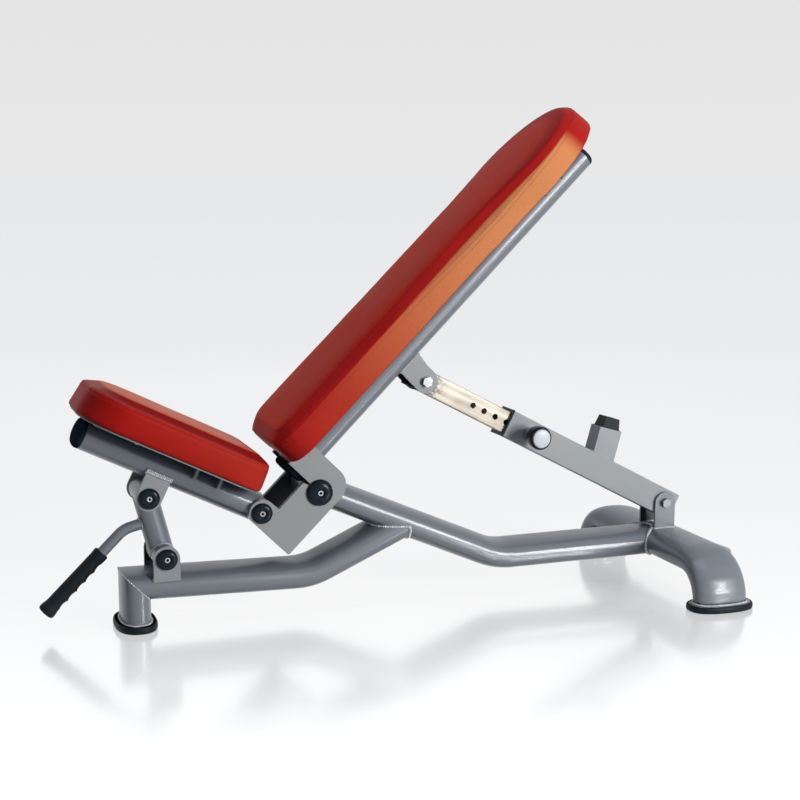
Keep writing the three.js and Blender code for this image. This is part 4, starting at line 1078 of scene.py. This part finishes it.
padLook = {
    # fuller, narrow: where along the pad it starts, where it is whole, and by how much
    # dip: start, middle, end and depth of the seam's sag
    "back": dict(
        node="back_pad", place=backPlace, floor=0.0765, band=0.1210, face=0.1345, inset=0.028,
        lean=0.0, headLean=0.0065, headLow=0.45, fuller=(0.40, 0.64, 0.062), narrow=(0.50, 0.70, 0.55),
        shorter=0.0020, footOut=0.005, frontIn=0.0, rearIn=0.0, dip=(0.28, 0.52, 0.72, 0.0080),
        valley=0.0010, crown=0.0040, material=backVinyl, body="backrest", voxel=0.0055, pressure=4.0,
        cap=0.0024, fill=0.95, stitchDown=0.0065,
    ),
    "seat": dict(
        node="seat_pad", place=seatPlace, floor=0.0322, band=0.0802, face=0.0912, inset=0.028,
        lean=0.0035, headLean=-0.006, headLow=0.30, fuller=(1, 2, 0), narrow=(1, 2, 0),
        shorter=0.0, footOut=0.0, frontIn=0.0058, rearIn=0.0028, dip=(-0.33, -0.16, 0.02, 0.0035),
        valley=0.0034, crown=0.0, material=seatVinyl, body="seat", voxel=0.0045, pressure=4.0,
        cap=0.0016, fill=0.95, stitchDown=0.0065,
    ),
}


# along a pad in its own frame: where a change at an end starts and where it is whole
padEnds = dict(
    head=(0.60, 0.76), foot=(0.0, 0.06), front=(-0.34, -0.22), rear=(-0.12, -0.03),
    headTip=(0.62, 0.78), frontTip=(-0.34, -0.24), rearTip=(-0.10, -0.03), crown=(0.42, 0.70),
)


def smoothStep(low, high, value):
    share = min(1.0, max(0.0, (value - low) / (high - low)))
    return share * share * (3 - 2 * share)


def padOutline(look):
    # the CAD pad's outline at the top of its side band, as an ordered ring in the pad's own frame
    home = look["place"].inverted()
    shape = cadCopy(look["node"], flatten=False)
    ring = [home @ v.co for v in shape.verts]
    shape.free()
    ring = [p for p in ring if abs(p.z - look["band"]) < 0.0006]
    middle = sum(ring, Vector()) / len(ring)
    halfLong = max(abs(p.x - middle.x) for p in ring)
    halfWide = max(abs(p.y) for p in ring)
    ring.sort(key=lambda p: math.atan2(p.y / halfWide, (p.x - middle.x) / halfLong))
    low, high, more = look["fuller"]
    result = []
    for p in ring:
        x = p.x - look["shorter"] * smoothStep(*padEnds["head"], p.x)
        x -= look["footOut"] * (1 - smoothStep(*padEnds["foot"], p.x))
        x += look["frontIn"] * (1 - smoothStep(*padEnds["front"], p.x))
        x -= look["rearIn"] * smoothStep(*padEnds["rear"], p.x)
        result.append(Vector((x, p.y * (1 + more * smoothStep(low, high, p.x)), 0)))
    return result


def nearestOn(outline, point):
    # the nearest place on the outline
    flat = Vector((point.x, point.y, 0))
    best, found = 1.0, flat
    for a, b in zip(outline, outline[1:] + outline[:1]):
        line = b - a
        share = min(1.0, max(0.0, (flat - a).dot(line) / line.length_squared))
        gap = (flat - a - line * share).length
        if gap < best:
            best, found = gap, a + line * share
    return found, best


def seamDip(look, x):
    # how far the sewn seam sinks along its length
    low, middle, high, most = look["dip"]
    return most * min(smoothStep(low, middle, x), 1 - smoothStep(middle, high, x))


def insetShare(look, x):
    # the bevel grows narrower round the head
    low, high, most = look["narrow"]
    return 1 - most * smoothStep(low, high, x)


def padBlank(look, outline):
    shape = bmesh.new()
    foot = [shape.verts.new((p.x, p.y, look["floor"])) for p in outline]
    base = shape.faces.new(foot)
    rise = bmesh.ops.extrude_face_region(shape, geom=[base])
    top = [f for f in rise["geom"] if isinstance(f, bmesh.types.BMFace)][0]
    bmesh.ops.translate(shape, verts=top.verts, vec=(0, 0, look["band"] - look["floor"]))
    bmesh.ops.inset_region(
        shape, faces=[top], thickness=look["inset"], depth=look["face"] - look["band"], use_even_offset=True
    )
    crown = set(top.verts)
    for vert in shape.verts:
        if vert in crown:
            spot, _ = nearestOn(outline, vert.co)
            share = insetShare(look, vert.co.x)
            vert.co.x = spot.x + (vert.co.x - spot.x) * share
            vert.co.y = spot.y + (vert.co.y - spot.y) * share
        elif vert.co.z > look["floor"] + 0.01:
            vert.co.z -= seamDip(look, vert.co.x)
    bmesh.ops.recalc_face_normals(shape, faces=shape.faces)
    return shape


def leaned(look, point):
    # the end bands tip inwards a little towards their tops, and the face is crowned away from the head
    rise = (point.z - look["floor"]) / (look["band"] - look["floor"])
    rear = smoothStep(*padEnds["rearTip"], point.x) if look["lean"] else 0
    if look["headLean"] > 0:
        head = smoothStep(*padEnds["headTip"], point.x)
    else:
        head = 1 - smoothStep(*padEnds["frontTip"], point.x)
    x = point.x - look["lean"] * rear * rise - look["headLean"] * head * (rise - look["headLow"])
    lift = look["crown"] * (1 - smoothStep(*padEnds["crown"], point.x)) * smoothStep(0.8, 1.25, rise)
    return Vector((x, point.y, point.z + lift))


clothLook = dict(
    quality=6, mass=0.25, tension_stiffness=18, compression_stiffness=12, shear_stiffness=8,
    bending_stiffness=0.8,
)
clothFrames = 20
looseLook = dict(high=0.0004, often=17)


def upholster(label):
    look = padLook[label]
    outline = padOutline(look)
    shape = padBlank(look, outline)
    mesh = bpy.data.meshes.new(label + "PadBlank")
    shape.to_mesh(mesh)
    shape.free()
    scene = bpy.context.scene
    blank = bpy.data.objects.new(label + "PadBlank", mesh)
    scene.collection.objects.link(blank)
    remesh = blank.modifiers.new("even", "REMESH")
    remesh.mode = "VOXEL"
    remesh.voxel_size = look["voxel"]
    even = bpy.data.meshes.new_from_object(blank.evaluated_get(bpy.context.evaluated_depsgraph_get()))
    bpy.data.objects.remove(blank)
    pad = bpy.data.objects.new(label + "Cushion", even)
    scene.collection.objects.link(pad)

    rest = [v.co.copy() for v in even.vertices]
    # distance from the outline, for what is held and what may swell
    depth = [nearestOn(outline, p)[1] for p in rest]
    held = pad.vertex_groups.new(name="held")
    for index, point in enumerate(rest):
        onFloor = 1 - smoothStep(0.002, 0.007, point.z - look["floor"])
        seamAt = look["band"] - seamDip(look, point.x)
        crownAt = look["inset"] * insetShare(look, point.x)
        onSeam = 1 - smoothStep(0.003, 0.008, math.hypot(point.z - seamAt, depth[index]))
        onCrown = 1 - smoothStep(0.002, 0.010, math.hypot(point.z - look["face"], depth[index] - crownAt))
        held.add([index], max(onFloor, 0.97 * onSeam, 0.9 * onCrown), "REPLACE")
    cloth = pad.modifiers.new("cover", "CLOTH")
    settings = cloth.settings
    for name, value in clothLook.items():
        setattr(settings, name, value)
    settings.use_pressure = True
    settings.uniform_pressure_force = look["pressure"]
    settings.vertex_group_mass = "held"
    settings.pin_stiffness = 1.0
    settings.effector_weights.gravity = 0
    cloth.collision_settings.use_collision = False
    cloth.point_cache.frame_start = 1
    cloth.point_cache.frame_end = clothFrames
    for step in range(1, clothFrames + 1):
        scene.frame_set(step)
    swollen = bpy.data.meshes.new_from_object(pad.evaluated_get(bpy.context.evaluated_depsgraph_get()))
    moved = [v.co.copy() for v in swollen.vertices]
    pad.modifiers.remove(cloth)
    scene.frame_set(1)
    bpy.data.meshes.remove(swollen)
    most = 0.0
    for index, vert in enumerate(even.vertices):
        step = moved[index] - rest[index]
        length = step.length
        most = max(most, length)
        if length > look["cap"]:
            step *= look["cap"] / length
        loose = looseLook["high"] * noise.noise(rest[index] * looseLook["often"])
        vert.co = rest[index] + step + vert.normal * loose
        crownAt = look["inset"] * insetShare(look, rest[index].x)
        if rest[index].z > look["band"] - 0.002 and depth[index] < crownAt:
            spot, gap = nearestOn(outline, rest[index])
            sideways = abs(rest[index].y - spot.y) / gap if gap > 1e-5 else 0
            vert.co.z -= look["valley"] * sideways ** 2 * math.sin(math.pi * depth[index] / crownAt)
    print(label, "pad swelled by up to", round(most * 1000, 1), "mm")
    pad.vertex_groups.clear()
    smooth = bmesh.new()
    smooth.from_mesh(even)
    relax(smooth, 2)
    for vert in smooth.verts:
        vert.co = leaned(look, vert.co)
    bmesh.ops.transform(smooth, matrix=look["place"], verts=smooth.verts)
    smooth.to_mesh(even)
    smooth.free()
    even.materials.clear()
    even.materials.append(look["material"])
    even.shade_smooth()
    divide = pad.modifiers.new("finer", "SUBSURF")
    divide.levels = 1
    divide.render_levels = 1
    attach(pad, look["body"])
    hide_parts(look["node"])
    return pad, outline


def onSurface(pad, points, lift):
    # nearest places on the finished pad, with the outward way at each
    made = pad.evaluated_get(bpy.context.evaluated_depsgraph_get())
    mesh = made.to_mesh()
    shape = bmesh.new()
    shape.from_mesh(mesh)
    tree = BVHTree.FromBMesh(shape)
    shape.free()
    made.to_mesh_clear()
    result = []
    for point in points:
        place, normal, _, _ = tree.find_nearest(point)
        result.append((place + normal * lift, normal))
    return result


def sweptRing(path, wide, high):
    # a thin closed roll along (point, outward way) pairs
    shape = bmesh.new()
    loops, count, sides = [], len(path), 8
    for k, (point, normal) in enumerate(path):
        way = (path[(k + 1) % count][0] - path[k - 1][0]).normalized()
        across = way.cross(normal).normalized()
        out = across.cross(way).normalized()
        loop = []
        for j in range(sides):
            turn = math.tau * j / sides
            offset = across * (wide * math.cos(turn)) + out * (high * math.sin(turn))
            loop.append(shape.verts.new(point + offset))
        loops.append([shape.edges.new((loop[j], loop[(j + 1) % sides])) for j in range(sides)])
    for k in range(count):
        bmesh.ops.bridge_loops(shape, edges=loops[k] + loops[(k + 1) % count])
    return shape


seamLook = dict(wide=0.0012, high=0.0009, spacing=0.004, stitchEvery=0.0046, stitch=(0.0017, 0.00045, 0.0004))


def sewnEdge(label, pad, outline):
    look = padLook[label]
    place = look["place"]
    ring = [place @ leaned(look, Vector((p.x, p.y, look["band"] - seamDip(look, p.x)))) for p in outline]
    seam = onSurface(pad, evenPath(ring, seamLook["spacing"]), -0.0002)
    # a narrow folded welt along the seam
    welt = sweptRing(seam, seamLook["wide"], seamLook["high"])
    addPiece(label + "PadWelt", welt, look["body"], "red_vinyl", look["material"], weighted=False, sharp=180)
    # top stitching on the side band
    under = look["band"] - look["stitchDown"]
    row = [place @ leaned(look, Vector((p.x, p.y, under - seamDip(look, p.x)))) for p in outline]
    stitches = onSurface(pad, evenPath(row, seamLook["stitchEvery"]), 0.0001)
    thread = bmesh.new()
    count = len(stitches)
    for k, (point, normal) in enumerate(stitches):
        way = (stitches[(k + 1) % count][0] - stitches[k - 1][0]).normalized()
        turn = Matrix((way, normal.cross(way).normalized(), normal)).transposed().to_4x4()
        stitch = Matrix.Translation(point) @ turn @ Matrix.Diagonal((*seamLook["stitch"], 1))
        bmesh.ops.create_uvsphere(thread, u_segments=6, v_segments=4, radius=1, matrix=stitch)
    addPiece(label + "PadStitching", thread, look["body"], "red_vinyl", redThread, weighted=False, sharp=180)


trimLook = dict(inset=0.0045, radius=0.0013, below=0.0003, spacing=0.004)


def seatTrim(outline):
    # an edging holds the cover's turned-in edge under the seat
    look = padLook["seat"]
    middle = sum(outline, Vector()) / len(outline)
    halfLong = max(abs(p.x - middle.x) for p in outline)
    halfWide = max(abs(p.y) for p in outline)
    line = [Vector((
        middle.x + (p.x - middle.x) * (1 - trimLook["inset"] / halfLong),
        p.y * (1 - trimLook["inset"] / halfWide), look["floor"] - trimLook["below"],
    )) for p in outline]
    path = [(look["place"] @ p, seatUp) for p in evenPath(line, trimLook["spacing"])]
    trim = sweptRing(path, trimLook["radius"], trimLook["radius"])
    addPiece("seatPadTrim", trim, "seat", "frame_paint", framePaint, weighted=False, sharp=180)


screwLook = dict(
    at=(-0.251, 0.098, 0.0312), radius=0.0046, rim=0.0006, rise=0.0030, sunk=0.001, domeSteps=6, steps=24,
)


def seatScrews():
    x, y, z = screwLook["at"]
    radius, rim, rise = screwLook["radius"], screwLook["rim"], screwLook["rise"]
    profile = [(0, -screwLook["sunk"]), (radius, -screwLook["sunk"]), (radius, rim)]
    for k in range(1, screwLook["domeSteps"] + 1):
        turn = math.radians(90 * k / screwLook["domeSteps"])
        profile.append((radius * math.cos(turn), rim + (rise - rim) * math.sin(turn)))
    for side, label in ((-1, "Near"), (1, "Far")):
        place = seatPlace @ Matrix.Translation((x, side * y, z)) @ Matrix.Rotation(math.pi, 4, "X")
        addPiece("seatScrew" + label, lathe(profile, screwLook["steps"], place), "seat", "bright_hardware")


plugLook = dict(out=0.049, sides=64, sections=(
    # how far in from the tube's outside, and where along the backrest
    (0.0004, 0.0026), (0.0004, -0.0030), (0.0012, -0.0058),
    (0.0030, -0.0082), (0.0060, -0.0096), (0.0120, -0.0102),
))


def footPlug():
    # a domed plug closes the backrest tube's lower end
    shape = bmesh.new()
    skinRings(shape, [ovalEdges(
        shape, ovalTube["wide"] - inset, ovalTube["thin"] - inset, plugLook["sides"],
        lambda u, v: backPlace @ Vector((x, u, plugLook["out"] + v)),
    ) for inset, x in plugLook["sections"]])
    addPiece("backTubeFootPlug", shape, "backrest", "black_plastic", plugPlastic)


blockLook = dict(
    at=((0.630, 0.1035, 0.0752), (0.672, 0.1035, 0.0752)), size=(0.0050, 0.0070, 0.0040), edge=0.0009,
)


# small black blocks just under the back pad's floor, two on each side near its edges
def boardClips():
    darkBlocks = bmesh.new()
    for x, y, z in blockLook["at"]:
        for side in (-1, 1):
            place = backPlace @ Matrix.Translation((x, side * y, z)) @ Matrix.Diagonal((*blockLook["size"], 1))
            bmesh.ops.create_cube(darkBlocks, size=1.0, matrix=place)
    roundEdges(darkBlocks, blockLook["edge"], 3)
    addPiece("boardClips", darkBlocks, "backrest", "black_plastic")


for label in ("back", "seat"):
    pad, outline = upholster(label)
    sewnEdge(label, pad, outline)
seatTrim(outline)
seatScrews()
boardClips()
footPlug()
print("upholstery made")


# stage, light and camera

cameraLook = dict(place=(-0.37236, -2.4752, 0.74963), way=(0.3196, 0.9362, -0.1465), lens=67.77)
floorLook = dict(
    # each row: one over (reach times the distance from the camera's foot), floor tone, share of gloss
    tones=(
        (0.0, 0.846, 0.42), (0.035, 0.852, 0.42), (0.115, 0.853, 0.42), (0.196, 0.862, 0.42),
        (0.36, 0.866, 0.44), (0.525, 0.890, 0.48), (0.694, 0.943, 0.52), (0.78, 0.966, 0.46),
        (0.866, 0.990, 0.34), (0.905, 0.995, 0.16), (0.945, 1.0, 0.03), (0.99, 1.01, 0.01),
    ),
    reach=0.55, glossRough=0.15, matte=0.35, mirrored=0.79, lit=0.26, top=1.7, bounce=0.16, size=400,
)


def stageMaterial():
    material = bpy.data.materials.new("paleFloor")
    material.use_nodes = True
    tree = material.node_tree
    lit = tree.nodes["Principled BSDF"]
    bounce = floorLook["bounce"]
    lit.inputs["Base Color"].default_value = (bounce, bounce, bounce * 1.03, 1)
    lit.inputs["Roughness"].default_value = 0.6
    output = tree.nodes["Material Output"]
    place = newNode(tree, "ShaderNodeTexCoord")
    middle = newNode(tree, "ShaderNodeMapping")
    wire(tree, place.outputs["Object"], middle.inputs["Vector"])
    middle.inputs["Location"].default_value = (-cameraLook["place"][0], -cameraLook["place"][1], 0)
    away = newNode(tree, "ShaderNodeVectorMath", operation="LENGTH")
    wire(tree, middle.outputs["Vector"], away.inputs[0])
    nearness = mathNode(tree, "DIVIDE", 1 / floorLook["reach"], away.outputs["Value"], True)
    fade = newNode(tree, "ShaderNodeValToRGB")
    share = newNode(tree, "ShaderNodeValToRGB")
    for ramp in (fade, share):
        wire(tree, nearness, ramp.inputs[0])
        while len(ramp.color_ramp.elements) < len(floorLook["tones"]):
            ramp.color_ramp.elements.new(0.5)
    matteShare = floorLook["matte"]
    for k, (position, tone, shine) in enumerate(floorLook["tones"]):
        level = (tone - shine * floorLook["mirrored"]) / (1 - shine)
        level = (level - matteShare * floorLook["lit"]) / (1 - matteShare) / floorLook["top"]
        fade.color_ramp.elements[k].position = position
        fade.color_ramp.elements[k].color = (level, level, level, 1)
        share.color_ramp.elements[k].position = position
        share.color_ramp.elements[k].color = (shine, shine, shine, 1)
    glow = newNode(tree, "ShaderNodeEmission")
    wire(tree, fade.outputs["Color"], glow.inputs["Color"])
    glow.inputs["Strength"].default_value = floorLook["top"]
    matte = newNode(tree, "ShaderNodeBsdfDiffuse")
    matte.inputs["Color"].default_value = (0.95, 0.95, 0.95, 1)
    gloss = newNode(tree, "ShaderNodeBsdfGlossy")
    gloss.inputs["Color"].default_value = (0.95, 0.95, 0.96, 1)
    gloss.inputs["Roughness"].default_value = floorLook["glossRough"]
    soft = newNode(tree, "ShaderNodeMixShader")
    soft.inputs[0].default_value = matteShare
    wire(tree, glow.outputs[0], soft.inputs[1])
    wire(tree, matte.outputs[0], soft.inputs[2])
    shown = newNode(tree, "ShaderNodeMixShader")
    wire(tree, share.outputs["Color"], shown.inputs[0])
    wire(tree, soft.outputs[0], shown.inputs[1])
    wire(tree, gloss.outputs[0], shown.inputs[2])
    ray = newNode(tree, "ShaderNodeLightPath")
    seen = mathNode(tree, "MAXIMUM", ray.outputs["Is Camera Ray"], ray.outputs["Is Glossy Ray"])
    seen = mathNode(tree, "MAXIMUM", seen, ray.outputs["Is Transmission Ray"])
    final = newNode(tree, "ShaderNodeMixShader")
    wire(tree, seen, final.inputs[0])
    wire(tree, lit.outputs[0], final.inputs[1])
    wire(tree, shown.outputs[0], final.inputs[2])
    wire(tree, final.outputs[0], output.inputs["Surface"])
    return material


floorShape = bmesh.new()
bmesh.ops.create_grid(floorShape, x_segments=1, y_segments=1, size=floorLook["size"])
floorMesh = bpy.data.meshes.new("studioFloor")
floorShape.to_mesh(floorMesh)
floorShape.free()
floorMesh.materials.append(stageMaterial())
studioFloor = bpy.data.objects.new("studioFloor", floorMesh)
bpy.context.scene.collection.objects.link(studioFloor)

skyLook = dict(ambient=(0.80, 0.92, 1.08, 1), strength=0.2, level=0.808, above=0.783, aboveAt=0.115)
world = bpy.data.worlds.new("studioWorld")
bpy.context.scene.world = world
world.use_nodes = True
air = world.node_tree
ambient = air.nodes["Background"]
ambient.inputs["Color"].default_value = skyLook["ambient"]
ambient.inputs["Strength"].default_value = skyLook["strength"]
backdrop = newNode(air, "ShaderNodeBackground")
skyWay = newNode(air, "ShaderNodeTexCoord")
height = newNode(air, "ShaderNodeSeparateXYZ")
wire(air, skyWay.outputs["Generated"], height.inputs[0])
skyTone = rampNode(air, height.outputs["Z"], 0.0, skyLook["aboveAt"], skyLook["level"], skyLook["above"])
wire(air, skyTone, backdrop.inputs["Color"])
ray = newNode(air, "ShaderNodeLightPath")
seen = mathNode(air, "MAXIMUM", ray.outputs["Is Camera Ray"], ray.outputs["Is Glossy Ray"])
seen = mathNode(air, "MAXIMUM", seen, ray.outputs["Is Transmission Ray"])
pick = newNode(air, "ShaderNodeMixShader")
wire(air, seen, pick.inputs[0])
wire(air, ambient.outputs[0], pick.inputs[1])
wire(air, backdrop.outputs[0], pick.inputs[2])
wire(air, pick.outputs[0], air.nodes["World Output"].inputs["Surface"])

daylight = (1, 0.985, 0.955)
lampLook = {
    "frontUpper": dict(
        place=(2.3, -3.2, 1.25), aim=(0.5, 0, 0.35), size=(1.0, 0.5), power=58, color=daylight,
    ),
    "frontLower": dict(
        place=(2.3, -3.2, 0.55), aim=(0.5, 0, 0.30), size=(1.0, 0.45), power=50, color=daylight,
    ),
    "overheadBox": dict(
        place=(0.3, -0.5, 2.8), aim=(0.5, 0.05, 0.2), size=(2.4, 0.8), power=12, color=(0.88, 0.95, 1),
    ),
    "rearBox": dict(
        place=(1.2, 3.2, 2.0), aim=(0.5, 0, 0.35), size=(2.4, 1.4), power=14, color=(1, 1, 1), hidden=True,
    ),
}
for name, lamp in lampLook.items():
    light = bpy.data.lights.new(name, "AREA")
    light.shape = "RECTANGLE"
    light.size, light.size_y = lamp["size"]
    light.energy = lamp["power"]
    light.color = lamp["color"]
    box = bpy.data.objects.new(name, light)
    box.location = lamp["place"]
    box.rotation_euler = (Vector(lamp["aim"]) - Vector(lamp["place"])).to_track_quat("-Z", "Y").to_euler()
    box.visible_glossy = not lamp.get("hidden", False)
    bpy.context.scene.collection.objects.link(box)

camera = bpy.data.cameras.new("camera")
camera.lens = cameraLook["lens"]
camera.sensor_width = 36
cameraObject = bpy.data.objects.new("camera", camera)
cameraObject.location = cameraLook["place"]
cameraObject.rotation_euler = Vector(cameraLook["way"]).to_track_quat("-Z", "Y").to_euler()
bpy.context.scene.collection.objects.link(cameraObject)
bpy.context.scene.camera = cameraObject
bpy.context.scene.view_settings.view_transform = "Standard"

print("stage, lamps and camera made")
